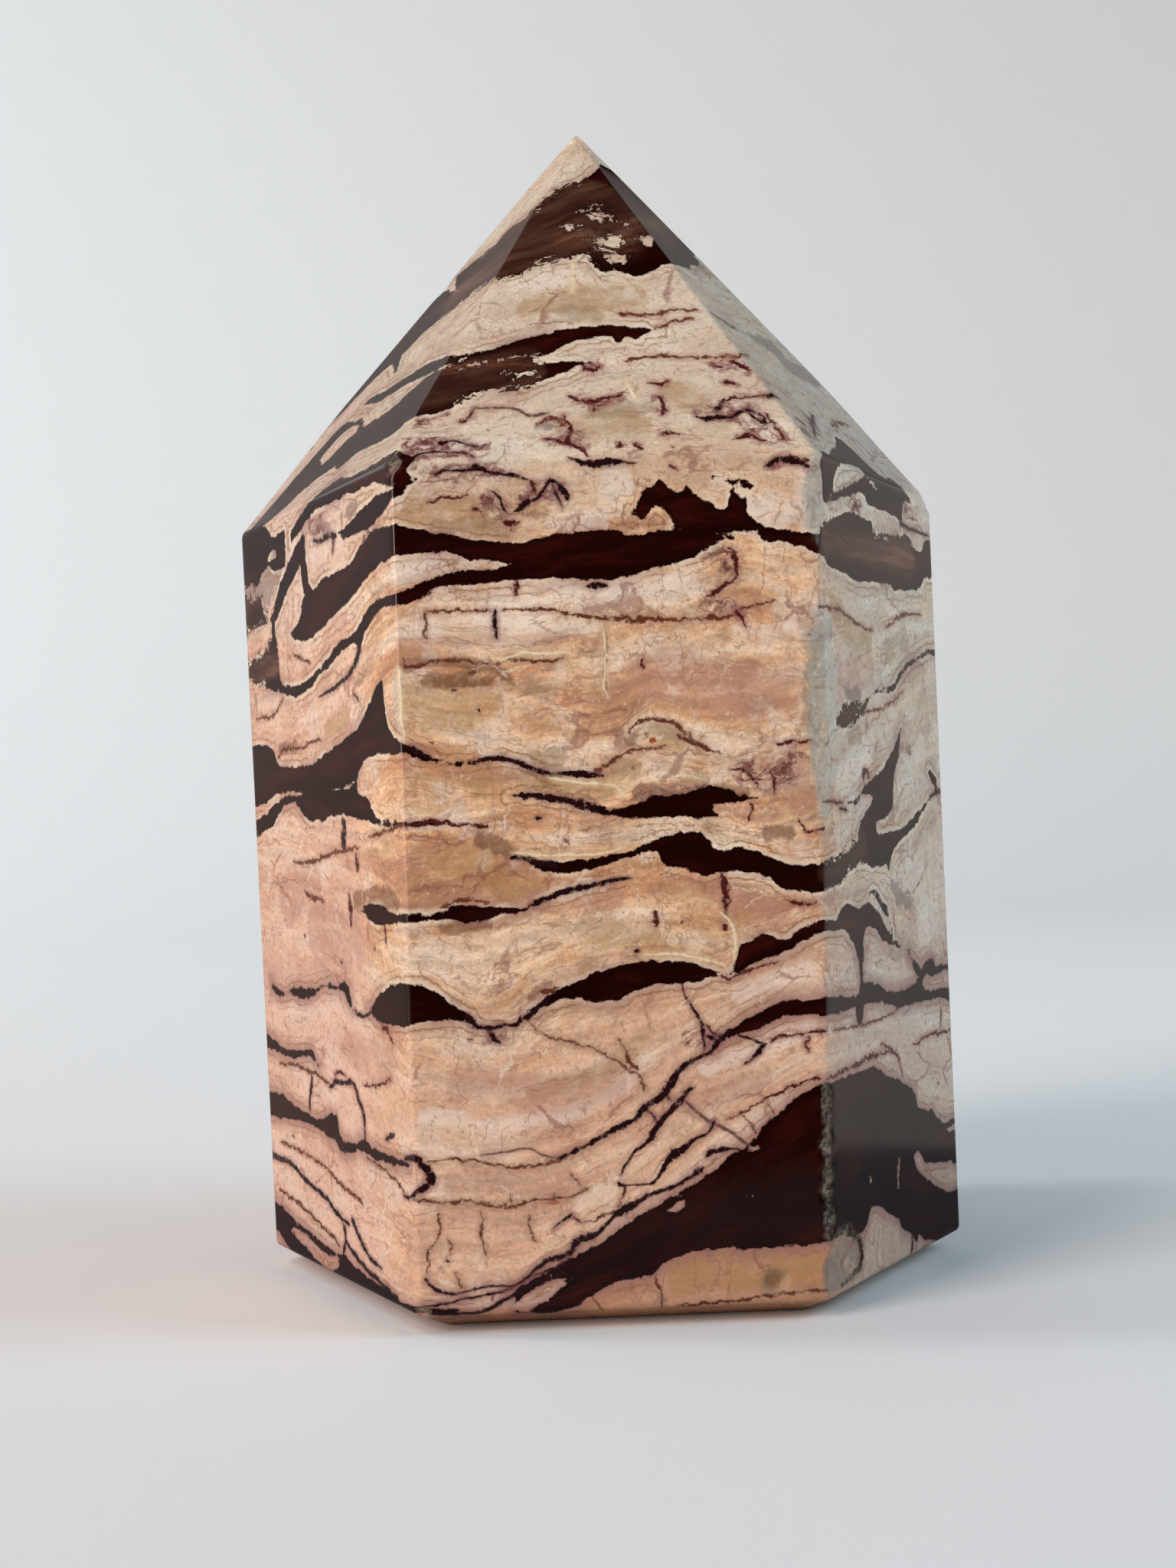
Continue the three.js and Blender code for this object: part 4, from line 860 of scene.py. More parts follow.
GUIDES = [
    [(-100, 5), (-50, 3.4), (0, 3.4), (24, 3.3), (44, 6.6), (80, 13.5), (100, 17.9), (134, 18), (160, 15.6),
     (200, 11.6), (300, 8), (400, 6), (500, 5)],
    [(-100, 19.5), (-60, 19), (-33, 16.2), (0, 13.4), (25, 12.7), (42, 14.2), (60, 17.4), (76, 22),
     (100, 23.6), (150, 23.1), (200, 23), (300, 21.5), (400, 19.6), (500, 19.5)],
    [(-100, 30), (-50, 29.6), (-10, 25.4), (8, 24.6), (20, 23.1), (34, 25.2), (56, 26.9), (75, 26.5),
     (84, 28.4), (100, 30), (120, 29.6), (157, 27.3), (200, 28.4), (300, 27.8), (400, 28.6), (500, 30)],
    [(-100, 37), (-50, 36.4), (-10, 33.4), (10, 33.2), (28, 35.6), (44, 35.3), (66, 36), (73, 35.1),
     (92, 33.8), (120, 34.8), (150, 35.3), (194, 40), (300, 36.4), (400, 35.6), (500, 37)],
    [(-100, 42.5), (-50, 42), (-20, 43), (0, 44.5), (17, 43.3), (35, 42.2), (50, 42), (60, 43.8), (75, 43.3),
     (100, 44), (118, 45), (135, 47), (160, 48.7), (200, 52), (300, 47), (400, 43.4), (500, 42.5)],
    [(-100, 53), (-70, 52.6), (-40, 54.4), (0, 57.6), (20, 58), (60, 59), (80, 59.8), (100, 59), (120, 59.4),
     (200, 59.8), (300, 58.4), (400, 57), (500, 53)],
    [(-100, 62), (-70, 63.8), (-40, 65.6), (0, 65.9), (20, 66.6), (42, 68), (70, 68.6), (100, 66.6),
     (125, 65.6), (150, 67), (200, 66), (300, 66.6), (400, 66), (500, 62)],
    [(-100, 66.4), (-70, 69.6), (-30, 71.6), (0, 73.4), (20, 74.6), (50, 77), (75, 77.6), (100, 78),
     (150, 78), (200, 76.5), (300, 75), (400, 72), (500, 66.4)],
    [(-100, 76), (-60, 82), (0, 84), (50, 86), (70, 84.2), (100, 85.2), (150, 86.2), (200, 88.3), (300, 84),
     (400, 80.5), (500, 76)],
    [(-100, 88.3), (-50, 89.5), (0, 91.8), (50, 94.6), (100, 96), (150, 96.7), (200, 94), (300, 91.2),
     (400, 89.5), (500, 88.3)],
]
print("tints:", list(TINTS), "and", len(GUIDES), "bedding guides")

# %% [markdown]
# A level field turns the drawing into something that a material can use: at each vertex, how many
# millimetres the surface is inside the dark, with less than nothing outside. Blender interpolates it between
# vertices, so the edge of a band stays sharp where it passes through nothing, however coarse the grid is.
# The curves through the drawn points are cubic, and never overshoot them.

# %% Curves and levels
def curve(xs, ys, x):
    """Cubic through (xs, ys): a point's slope is the harmonic mean of its two spans, or 0 at a turn."""
    xs, ys = np.asarray(xs, float), np.asarray(ys, float)
    run = np.maximum(np.diff(xs), 1e-9)
    rise = np.diff(ys) / run
    slopes = np.zeros(len(xs))
    same = rise[1:] * rise[:-1] > 0
    slopes[1:-1][same] = 2 / (1 / rise[1:][same] + 1 / rise[:-1][same])
    slopes[0], slopes[-1] = rise[0], rise[-1]
    x = np.clip(x, xs[0], xs[-1])
    i = np.clip(np.searchsorted(xs, x, side="right") - 1, 0, len(run) - 1)
    h, t = run[i], (x - xs[i]) / run[i]
    held = (1 + 2 * t) * (1 - t) ** 2 * ys[i] + t * t * (3 - 2 * t) * ys[i + 1]
    return held + h * (t * (1 - t) ** 2 * slopes[i] - t * t * (1 - t) * slopes[i + 1])


def wrapped(around, middle):
    """The way round, shifted by whole turns to lie near the middle of a mark."""
    return around - TURN * np.round((around - middle) / TURN)


def band_level(top, bottom, around, z, percent_mm):
    """Millimetres inside a band: the smaller distance to its two edges, each square to the edge's slope."""
    top, bottom = np.array(top, float), np.array(bottom, float)
    first, last = max(top[0, 0], bottom[0, 0]), min(top[-1, 0], bottom[-1, 0])
    a = wrapped(around, (first + last) / 2)
    levels = []
    for edge, sign in ((top, 1), (bottom, -1)):
        height = curve(edge[:, 0], edge[:, 1], a)
        slope = (curve(edge[:, 0], edge[:, 1], a + 0.5) - height) / (0.5 * percent_mm)
        levels.append(sign * (height - z) / np.sqrt(1 + np.clip(slope, -4, 4) ** 2))
    ends = np.minimum(a - first, last - a) * percent_mm
    return np.minimum(np.minimum(*levels), ends + 0.3)


TURN = 600  # per cent of a side, all the way round
LEVEL_LIMIT = 2.5  # millimetres that the level field reaches to
grid_around, grid_z, grid_percent = around.ravel(), rings[..., 2].ravel(), percent_mm.ravel()
dark = np.full(grid_z.shape, -LEVEL_LIMIT)
for top, bottom in BANDS.values():
    dark = np.maximum(dark, band_level(top, bottom, grid_around, grid_z, grid_percent))
print("share of the grid inside the bands:", round(float((dark > 0).mean()), 2))

# %% [markdown]
# A stroke's field is the distance to its line, with a sign for the side that a vertex is on, so that it
# passes evenly through nothing on the line itself. Lines much thinner than the grid still come out sharp
# that way.

# %% The distance to a stroke
SPAN_STEPS = 4
A_SHARE = 0.3  # millimetres of one per cent of a side, near enough to space the points of a stroke
WIDTH_UNIT = 0.01  # the drawing's half widths are in hundredths of a millimetre


def smoothed(stroke):
    """The stroke with curves through its points: each coordinate is a cubic of the length along the line."""
    points = np.array(stroke, float) * [1, 1, WIDTH_UNIT]
    along = np.cumsum(np.hypot(np.diff(points[:, 0]) * A_SHARE, np.diff(points[:, 1])))
    along = np.concatenate([[0], along])
    count = len(points) - 1
    steps = np.interp(np.linspace(0, count, count * SPAN_STEPS + 1), np.arange(count + 1), along)
    return np.stack([curve(along, points[:, c], steps) for c in range(3)], axis=1)


def stroke_field(stroke, reach):
    """The vertices within reach of a stroke, their signed distance to its line and its half width there."""
    line = smoothed(stroke)
    low, high, margin = line.min(axis=0), line.max(axis=0), line[:, 2].max() + reach
    a = wrapped(grid_around, (low[0] + high[0]) / 2)
    wide = margin / np.maximum(grid_percent, 0.02)
    near = (a > low[0] - wide) & (a < high[0] + wide)
    near &= (grid_z > low[1] - margin) & (grid_z < high[1] + margin)
    index = np.nonzero(near)[0]
    scale = grid_percent[index, None]
    x = (line[None, :, 0] - a[index, None]) * scale
    y = line[None, :, 1] - grid_z[index, None]
    dx, dy = np.diff(x, axis=1), np.diff(y, axis=1)
    length = np.maximum(np.hypot(dx, dy), 1e-6)
    t = -(x[:, :-1] * dx + y[:, :-1] * dy) / length**2
    held = np.clip(t, 0, 1)
    far = np.hypot(x[:, :-1] + held * dx, y[:, :-1] + held * dy)
    past = np.zeros(t.shape)
    past[:, 0] = np.maximum(-t[:, 0], 0)
    past[:, -1] = np.maximum(past[:, -1], t[:, -1] - 1)
    half = line[:-1, 2] + held * np.diff(line[:, 2]) - past * length
    side = np.where(dx * y[:, :-1] - dy * x[:, :-1] < 0, -1, 1)
    pick = (np.arange(len(index)), far.argmin(axis=1))
    return index, (far * side)[pick], half[pick]


for stroke in DARK_STROKES:
    index, away_from, half = stroke_field(stroke, LEVEL_LIMIT)
    dark[index] = np.maximum(dark[index], half - np.abs(away_from))
for top, bottom in PALE.values():
    dark = np.minimum(dark, -band_level(top, bottom, grid_around, grid_z, grid_percent))
for stroke in PALE_STROKES:
    index, away_from, half = stroke_field(stroke, LEVEL_LIMIT)
    dark[index] = np.minimum(dark[index], np.abs(away_from) - half)
print("after strokes and inclusions:", round(float((dark > 0).mean()), 2))

# %% [markdown]
# The foot's underside isn't in the picture. A sawn section through such a block shows the same layers from
# above, so three bands cross it, drawn in x and y. Near its edge they give way to what the sides carry.

# %% The underside
FOOT_BANDS = [  # y of the upper and of the lower edge, by x, in millimetres
    ([(-30, -6), (-10, -9.5), (8, -11), (30, -15.5)], [(-30, -9), (-10, -12), (8, -16.5), (30, -19)]),
    ([(-30, 5.5), (-8, 4.0), (10, 0.5), (30, -1.5)], [(-30, 4.0), (-8, 1.5), (10, -2.8), (30, -2.6)]),
    ([(-30, 17.0), (-6, 16.0), (12, 11.5), (30, 12.0)], [(-30, 14.5), (-6, 14.6), (12, 9.0), (30, 9.5)]),
]
EDGE_BLEND = 5.0


def underside_share():
    """How far in from the foot's edge a vertex of the underside is: 0 there, and 1 a few millimetres in."""
    reach = np.linalg.norm(rings[..., :2], axis=-1)
    edge = reach[FOOT_ROWS - 1 + EDGE_ROWS // 2]
    share = np.clip((edge - reach) / EDGE_BLEND, 0, 1)
    share[FOOT_ROWS - 1 + EDGE_ROWS // 2 :] = 0
    return (share * share * (3 - 2 * share)).ravel()


under = underside_share()
foot_x, foot_y = rings[..., 0].ravel(), rings[..., 1].ravel()
foot_dark = np.full(foot_x.shape, -LEVEL_LIMIT)
for top, bottom in FOOT_BANDS:
    foot_dark = np.maximum(foot_dark, band_level(top, bottom, foot_x, foot_y, np.ones(foot_x.shape)))
dark = np.clip(dark + (foot_dark - dark) * under, -LEVEL_LIMIT, LEVEL_LIMIT)
print("vertices of the underside:", int((under > 0).sum()))

# %% [markdown]
# The veins come in layers, each a vector attribute that holds distance, half width and tone. Two strokes
# share a layer only where their surroundings don't meet, because between two fields a false line could
# appear. Where a layer has no stroke, its half width is below nothing, which draws no line.

# %% Layers of veins
VEIN_REACH = 1.1
NO_VEIN = (0.0, -1.0, 0.0)
TONES = {  # the number that stands for a tone, its colour, and that of the halo round it
    "brown": (0.0, "653526", "b08670"), "pale": (1.0, "eddbb9", "e0c096"),
    "orange": (0.2, "9c3f1c", "c08d66"), "red": (0.35, "4c1c1b", "a66d62"),
    "smoke": (0.5, "6b4c42", "a98072"), "ink": (0.7, "230a0e", "8d5c5a"),
}


def vein_layers(veins):
    """Puts each stroke in the first layer that is free where it goes. The half width fades off beside it."""
    layers = []
    for tone, strokes in veins.items():
        for stroke in strokes:
            index, signed, half = stroke_field(stroke, VEIN_REACH)
            away_from = np.abs(signed)
            free = [layer for layer in layers if (layer[index, 1] <= NO_VEIN[1]).all()]
            if not free:
                layers.append(np.tile(NO_VEIN, (len(grid_z), 1)))
                free = layers[-1:]
            near = away_from < np.maximum(half, 0) + VEIN_REACH
            fade = 2 * np.maximum(away_from - np.maximum(half, 0) - VEIN_REACH / 3, 0)
            tone_number = np.full(len(half), TONES[tone][0])
            values = np.stack([signed, np.maximum(half - fade, -1), tone_number], axis=1)
            free[0][index[near]] = values[near]
    return layers


vein_fields = vein_layers(VEINS)
print("veins:", sum(map(len, VEINS.values())), "in", len(vein_fields), "layers")

# %% [markdown]
# A stain has no edge: iron crept out into the mud from where it came in. So a tint is full along its stroke
# and fades over about as far again. A blurred picture would do it too, but strokes go round the arrises
# unbroken.

# %% Soft tints
def tint_amount(strokes):
    """From 1 on the strokes to 0 beyond them, falling as a cosine over as far again and half a mm more."""
    amount = np.zeros(grid_z.shape)
    for stroke in strokes:
        half = max(point[2] for point in stroke) * WIDTH_UNIT
        index, away_from, width = stroke_field(stroke, half + 0.6)
        fall = np.clip((np.abs(away_from) - 0.6 * width) / (width * 0.9 + 0.5), 0, 1)
        fall = np.where(width > 0, fall, 1)
        amount[index] = np.maximum(amount[index], 0.5 + 0.5 * np.cos(math.pi * fall))
    return amount * (1 - under)


tints = {name: tint_amount(strokes) for name, strokes in TINTS.items()}
print("tinted shares:", {name: round(float(t.mean()), 3) for name, t in tints.items()})

# %% [markdown]
# The pale stone between the beds is laid in fine leaves that follow the folds. Drawing each would take a
# day, and a noise in plain height would cut straight through them. So every vertex gets the height that its
# leaf had before it was folded: the guides are straightened, and what lies between two of them keeps its
# share of the way.

# %% Bedding
def bedding_height():
    """The layer that a vertex is in, in millimetres: its height, straightened between the guides by it."""
    heights = []
    for guide in GUIDES:
        points = np.array(guide, float)
        middle = (points[0, 0] + points[-1, 0]) / 2
        heights.append(curve(points[:, 0], points[:, 1], wrapped(grid_around, middle)))
    guides = np.stack([np.zeros(grid_z.shape), *heights, np.full(grid_z.shape, HEIGHT + 1.0)])
    levels = guides.mean(axis=1)
    layer = np.clip((guides <= grid_z).sum(axis=0) - 1, 0, len(guides) - 2)
    here = np.arange(len(grid_z))
    low, high = guides[layer, here], guides[layer + 1, here]
    share = np.clip((grid_z - low) / np.maximum(high - low, 1e-6), 0, 1)
    return levels[layer] + share * (levels[layer + 1] - levels[layer])


bedding = bedding_height()
bedding += (foot_y * 0.8 + foot_x * 0.15 - bedding) * under
print("bedding from", round(float(bedding.min()), 1), "to", round(float(bedding.max()), 1), "mm")

# %% [markdown]
# Vertices, faces and fields now go into one closed mesh. The rings join into quads, and a fan of triangles
# closes each pole. The object itself stays at the origin, so a pattern on Object coordinates is where the
# stone is.

# %% The skin
def skin_faces():
    """Quads between neighbouring rings, and the fans round the middle of the foot and round the tip."""
    column = np.arange(COLUMNS)
    following = np.roll(column, -1)
    row = np.arange(ROWS - 1)[:, None] * COLUMNS + 1
    above = row + COLUMNS
    quads = np.stack([row + column, row + following, above + following, above + column], axis=-1)
    last = (ROWS - 1) * COLUMNS + 1
    foot_fan = np.stack([np.zeros(COLUMNS, int), following + 1, column + 1], axis=-1)
    tip_fan = np.stack([last + column, last + following, np.full(COLUMNS, ROWS * COLUMNS + 1)], axis=-1)
    return quads.reshape(-1, 4).tolist() + foot_fan.tolist() + tip_fan.tolist()


def with_poles(values):
    """A field of the grid, with the first ring's mean in front of it and the last ring's mean after it."""
    values = np.asarray(values, float).reshape(ROWS, COLUMNS, -1)
    first, last = values[0].mean(axis=0, keepdims=True), values[-1].mean(axis=0, keepdims=True)
    return np.concatenate([first, values.reshape(ROWS * COLUMNS, -1), last])


def add_field(mesh, name, values):
    """Stores one number or three for each vertex as an attribute."""
    values = with_poles(values)
    kind, key = ("FLOAT", "value") if values.shape[1] == 1 else ("FLOAT_VECTOR", "vector")
    mesh.attributes.new(name, kind, "POINT").data.foreach_set(key, values.astype(np.float32).ravel())


skin_mesh = bpy.data.meshes.new("jasper_skin")
vertices = np.concatenate([[[0, 0, 0]], skin_points.reshape(-1, 3), [TIP]]) - MIDDLE
vertices[0] = [0, 0, 0]
skin_mesh.from_pydata((vertices * MM).tolist(), [], skin_faces())
skin_mesh.polygons.foreach_set("use_smooth", np.ones(len(skin_mesh.polygons), bool))
add_field(skin_mesh, "dark", dark)
add_field(skin_mesh, "bedding", bedding)
add_field(skin_mesh, "broken", np.clip(broken / BROKEN_FULL, 0, 1))
for number, field in enumerate(vein_fields):
    add_field(skin_mesh, f"vein_{number}", field)
tint_names = list(TINTS)
for start in range(0, len(tint_names), 3):
    group = tint_names[start : start + 3]
    add_field(skin_mesh, "tint_" + "_".join(group), np.stack([tints[name] for name in group], axis=-1))
stone = bpy.data.objects.new("jasper_skin", skin_mesh)
bpy.context.scene.collection.objects.link(stone)
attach(stone, "root")
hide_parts("tower")
triangles = sum(len(face.vertices) - 2 for face in skin_mesh.polygons)
print("skin:", len(skin_mesh.vertices), "vertices,", triangles, "triangles")

# %% [markdown]
# Zebra jasper is silica, coloured by iron: haematite gives the maroon to black layers, a little of it the
# pink, and goethite the ochre. It takes a glassy polish, so the base is a plain Principled surface with
# quartz's IOR and low roughness. Its colour could be a photograph wrapped round, but that would show a seam
# and end at the edges of the picture, so it is built in the order in which the stone grew: layered ground,
# stains, dark beds, then cracks.

# %% Helpers for the material
def rgb(code):
    """An sRGB hex code as linear red, green, blue and alpha."""
    channels = [int(code[i : i + 2], 16) / 255 for i in (0, 2, 4)]
    return [c / 12.92 if c <= 0.04045 else ((c + 0.055) / 1.055) ** 2.4 for c in channels] + [1.0]


def add(kind, inputs=(), stops=(), **settings):
    """Adds a node with its settings. An input is a value, a socket, or a node for its first output."""
    made = tree.nodes.new(kind)
    for name, value in settings.items():
        setattr(made, name, value)
    for key, value in inputs.items() if isinstance(inputs, dict) else enumerate(inputs):
        if isinstance(value, bpy.types.Node):
            value = value.outputs[0]
        if isinstance(value, bpy.types.NodeSocket):
            tree.links.new(value, made.inputs[key])
        else:
            made.inputs[key].default_value = value
    for number, (position, code) in enumerate(stops):
        elements = made.color_ramp.elements
        element = elements[number] if number < 2 else elements.new(position)
        element.position = position
        element.color = rgb(code)
    return made


jasper = bpy.data.materials.new("polished_jasper")
jasper.use_nodes = True
tree = jasper.node_tree
tree.nodes.clear()
MATH, MIX, RANGE, RAMP = "ShaderNodeMath", "ShaderNodeMix", "ShaderNodeMapRange", "ShaderNodeValToRGB"
NOISE, CELLS, VECTORS = "ShaderNodeTexNoise", "ShaderNodeTexVoronoi", "ShaderNodeVectorMath"
FIELD, PARTS, JOINED = "ShaderNodeAttribute", "ShaderNodeSeparateXYZ", "ShaderNodeCombineXYZ"
COLOUR_A, COLOUR_B, COLOUR_OUT = 6, 7, 2  # the colour sockets of a Mix node
place = add("ShaderNodeTexCoord").outputs["Object"]


def size(millimetres):
    """The scale of a noise whose features are this long, on coordinates in metres."""
    return 1 / (millimetres * MM)


# %% [markdown]
# The ground is mud that settled in thin layers, so its noise is stretched: it reads x and y at a seventh of
# their scale, and the bedding field in place of the height. That field follows the folds, so the laminae do
# too. Over them lie soft clouds of the silica that replaced the mud, and a grain of flecks a few tenths of a
# millimetre wide. Some of the ground's colour is painted light: the left of the stone is painted pinker, for
# warmer and stronger light from the left, the right greyer, for dimmer light and the grey it mirrors, and the
# point paler and greyer, for the light from above that its facets mirror.

# %% The layered ground
CREAM, PEACH, PINK, CHALK = "f0c69c", "dda67a", "bb8465", "f7e1ca"
ALONG_SHARE = 0.14


def laid_over(share, under, over, blend_type="MIX"):
    """One colour laid over another, as far as a share from 0 to 1 says. The upper may be an sRGB code."""
    over = rgb(over) if isinstance(over, str) else over
    inputs = {0: share, COLOUR_A: under, COLOUR_B: over}
    return add(MIX, inputs, data_type="RGBA", blend_type=blend_type).outputs[COLOUR_OUT]


spread = add(PARTS, [place])
bed = add(FIELD, attribute_name="bedding").outputs["Fac"]
bed_metres = add(MATH, [bed, MM], operation="MULTIPLY")
wander = add(NOISE, {"Vector": place, "Scale": size(8), "Detail": 4})
wander = add(RANGE, {0: wander, 3: -1.2 * MM, 4: 1.2 * MM})
bed_moved = add(MATH, [bed_metres, wander], operation="ADD")
along_x = add(MATH, [spread.outputs["X"], ALONG_SHARE], operation="MULTIPLY")
along_y = add(MATH, [spread.outputs["Y"], ALONG_SHARE], operation="MULTIPLY")
layered = add(JOINED, [along_x, along_y, bed_moved])
thick = add(NOISE, {"Vector": layered, "Scale": size(3.0), "Detail": 6, "Roughness": 0.62})
ground = add(RAMP, [thick], [(0.35, PINK), (0.64, CHALK), (0.45, PEACH), (0.53, CREAM)])
bend = add(NOISE, {"Vector": place, "Scale": size(2), "Detail": 5, "Roughness": 0.6}).outputs["Color"]
bend = add(VECTORS, [bend, (0.5, 0.5, 0.5)], operation="SUBTRACT")
bend = add(VECTORS, {0: bend, "Scale": 2.4 * MM}, operation="SCALE")
bent = add(VECTORS, [place, bend], operation="ADD")
bent_parts = add(PARTS, [bent])
long_x = add(MATH, [bent_parts.outputs[0], 0.45], operation="MULTIPLY")
long_y = add(MATH, [bent_parts.outputs[1], 0.45], operation="MULTIPLY")
bend_up = add(PARTS, [bend]).outputs["Z"]
bed_bent = add(MATH, [bed_moved, bend_up], operation="ADD")
lens_shaped = add(JOINED, [long_x, long_y, bed_bent])
pieces = add(CELLS, {"Vector": lens_shaped, "Scale": size(1.7)}).outputs["Color"]
piece_tone = add(PARTS, [pieces])
piece_colour = add(RAMP, [piece_tone], [(0, "b98560"), (1, "f0dcc4"), (0.35, "d3a67e"), (0.7, "e2c19f")])
in_point = add(RANGE, [bed, 60, 68, 0.2, 0.5])
ground = laid_over(in_point, ground, piece_colour)
clouds = add(NOISE, {"Vector": bent, "Scale": size(4.5), "Detail": 6, "Roughness": 0.66})
white_cloud = add(RANGE, [clouds, 0.54, 0.62, 0, 0.55])
ground = laid_over(white_cloud, ground, "f0ddcb")
warm_cloud = add(RANGE, [clouds, 0.45, 0.35, 0, 0.55])
ground = laid_over(warm_cloud, ground, "ad8062")
fine = add(NOISE, {"Vector": layered, "Scale": size(0.7), "Detail": 4, "Roughness": 0.75})
fine = add(RANGE, [fine, 0.3, 0.7, 0.7, 1.22])
ground = laid_over(1.0, ground, fine, "MULTIPLY")
fleck = add(NOISE, {"Vector": lens_shaped, "Scale": size(0.5), "Detail": 4, "Roughness": 0.8})
fleck = add(RANGE, [fleck, 0.56, 0.68, 0, 0.6])
calm = add(RANGE, [bed, 19, 28, 0.35, 1])
fleck = add(MATH, [fleck, calm], operation="MULTIPLY")
ground = laid_over(fleck, ground, "9c6a50")
bright = add(NOISE, {"Vector": bent, "Scale": size(0.6), "Detail": 4, "Roughness": 0.75})
bright = add(RANGE, [bright, 0.58, 0.68, 0, 0.5])
bright = add(MATH, [bright, calm], operation="MULTIPLY")
ground = laid_over(bright, ground, "f4e6d6")
REGIONS = [  # what is read, where it starts, where it is full, how strong, colour
    (bed, 30, 24, 0.4, "deb5a0"),  # the folded beds are pinker
    (bed, 5.6, 4.4, 0.72, "b47a54"),  # the foot is brown
    # painted reflection: the point is painted paler and greyer for the light from above that its facets
    # mirror
    (bed, 58, 67, 0.58, "dbd0bd"),  # the point is paler
    # painted light: the left is painted pink for the warmer, stronger light that falls on it from the left
    (spread, -16.5 * MM, -19 * MM, 0.36, "e6beb2"),  # pink to the left
    # painted shade and reflection: the right is painted grey for its dimmer light and the grey paper it
    # mirrors
    (spread, 17 * MM, 20 * MM, 0.42, "cfcbc2"),  # grey to the right
]
for read, start, full, strength, code in REGIONS:
    share = add(RANGE, [read, start, full, 0, strength])
    ground = laid_over(share, ground, code)
grit = add(NOISE, {"Vector": place, "Scale": size(0.3), "Detail": 3, "Roughness": 0.8})
grit = add(RANGE, [grit, 0.34, 0.66, 0.86, 1.1])
ground = laid_over(1.0, ground, grit, "MULTIPLY")
print("ground from noises of 3, 4.5, 0.7, 0.6, 0.5 and 0.3 mm, pieces of 1.7 mm")

# %% [markdown]
# Iron stains and bleached spots lie where the drawing says, with edges that a noise frays. Each tint mixes
# its own colour over the ground.

# %% Stains
STAINS = {  # colour, how strong, how softly it ends
    "ochre": ("a77d46", 0.52, 0.4), "chalk": ("f2e2d2", 0.5, 0.45), "rose": ("b58373", 0.45, 0.35),
    "olive": ("8d7757", 0.45, 0.2), "umber": ("6d452f", 0.7, 0.25), "ash": ("80736f", 0.7, 0.12),
    "splinter": ("c4bcae", 0.7, 0.12),
}
fray = add(NOISE, {"Vector": bent, "Scale": size(3), "Detail": 6, "Roughness": 0.72})
fray = add(RANGE, [fray, 0.3, 0.7, -0.75, 0.75])
channels = {}
for start in range(0, len(tint_names), 3):
    group = tint_names[start : start + 3]
    read = add(FIELD, attribute_name="tint_" + "_".join(group)).outputs["Vector"]
    parted = add(PARTS, [read])
    channels.update(zip(group, parted.outputs))
for name, (code, strength, softness) in STAINS.items():
    frayed = add(MATH, [channels[name], fray], operation="ADD")
    mask = add(RANGE, [frayed, 0.6 - softness, 0.6 + softness, 0, strength])
    here = add(RANGE, [channels[name], 0, 0.3])
    mask = add(MATH, [mask, here], operation="MULTIPLY")
    ground = laid_over(mask, ground, code)
print("stains:", list(STAINS))

# %% [markdown]
# When the silica hardened it shrank, which left short cracks square to the layers, and seams of clay between
# them. The cracks are the borders of Voronoi cells that are long across the bedding. They show only in
# patches. A seam is the line where a stretched noise passes through its middle value. Specks are the middles
# of a few cells.

# %% Seams, ladder cracks and specks
across = add(MATH, [bed_moved, 0.35], operation="MULTIPLY")
upright = add(JOINED, [bent_parts.outputs[0], bent_parts.outputs[1], across])
ladder = add(CELLS, {"Vector": upright, "Scale": size(2.6)}, feature="DISTANCE_TO_EDGE")
where = add(NOISE, {"Vector": place, "Scale": size(9), "Detail": 2})
hair = add(RANGE, [where, 0.44, 0.62, -0.01, 0.022])
crack = add(MATH, [hair, ladder], operation="SUBTRACT")
crack = add(RANGE, [crack, -0.006, 0.012, 0, 0.5])
seam = add(NOISE, {"Vector": layered, "Scale": size(2.1), "Detail": 4, "Roughness": 0.55})
seam = add(MATH, [seam, 0.5], operation="SUBTRACT")
seam = add(MATH, [seam], operation="ABSOLUTE")
seam_where = add(RANGE, [where, 0.6, 0.4, 0, 0.6])
seam = add(RANGE, [seam, 0.012, 0])
seam = add(MATH, [seam, seam_where], operation="MULTIPLY")
dots = add(CELLS, {"Vector": bent, "Scale": size(1.7)})
dot_size = add(PARTS, [dots.outputs["Color"]])
dot_size = add(RANGE, [dot_size, 0.84, 1, -0.05, 0.19])
speck = add(MATH, [dot_size, dots], operation="SUBTRACT")
speck = add(RANGE, [speck, 0, 0.06, 0, 0.8])
web = add(CELLS, {"Vector": lens_shaped, "Scale": size(3.1)}, feature="DISTANCE_TO_EDGE")
web_where = add(NOISE, {"Vector": place, "Scale": size(6), "Detail": 3})
pale_width = add(RANGE, [web_where, 0.5, 0.64, -0.01, 0.02])
pale_line = add(MATH, [pale_width, web], operation="SUBTRACT")
pale_line = add(RANGE, [pale_line, -0.005, 0.012, 0, 0.5])
red_width = add(RANGE, [web_where, 0.47, 0.36, -0.01, 0.035])
red_line = add(MATH, [red_width, web], operation="SUBTRACT")
red_line = add(RANGE, [red_line, -0.008, 0.02, 0, 0.6])
LINES = ((crack, "8d6052"), (seam, "8f5d50"), (pale_line, "f5e7d2"), (red_line, "8a5348"), (speck, "5e3129"))
for mask, code in LINES:
    ground = laid_over(mask, ground, code)
print("specks, seams and cracks round cells of 2.6 and 3.1 mm")

# %% [markdown]
# In the bruised zones of the point haematite grew in clots: dark purple-red in the middle, with a pink halo.
# They are the peaks of a rough noise, and the drawing says how far down from its peaks a clot may reach.

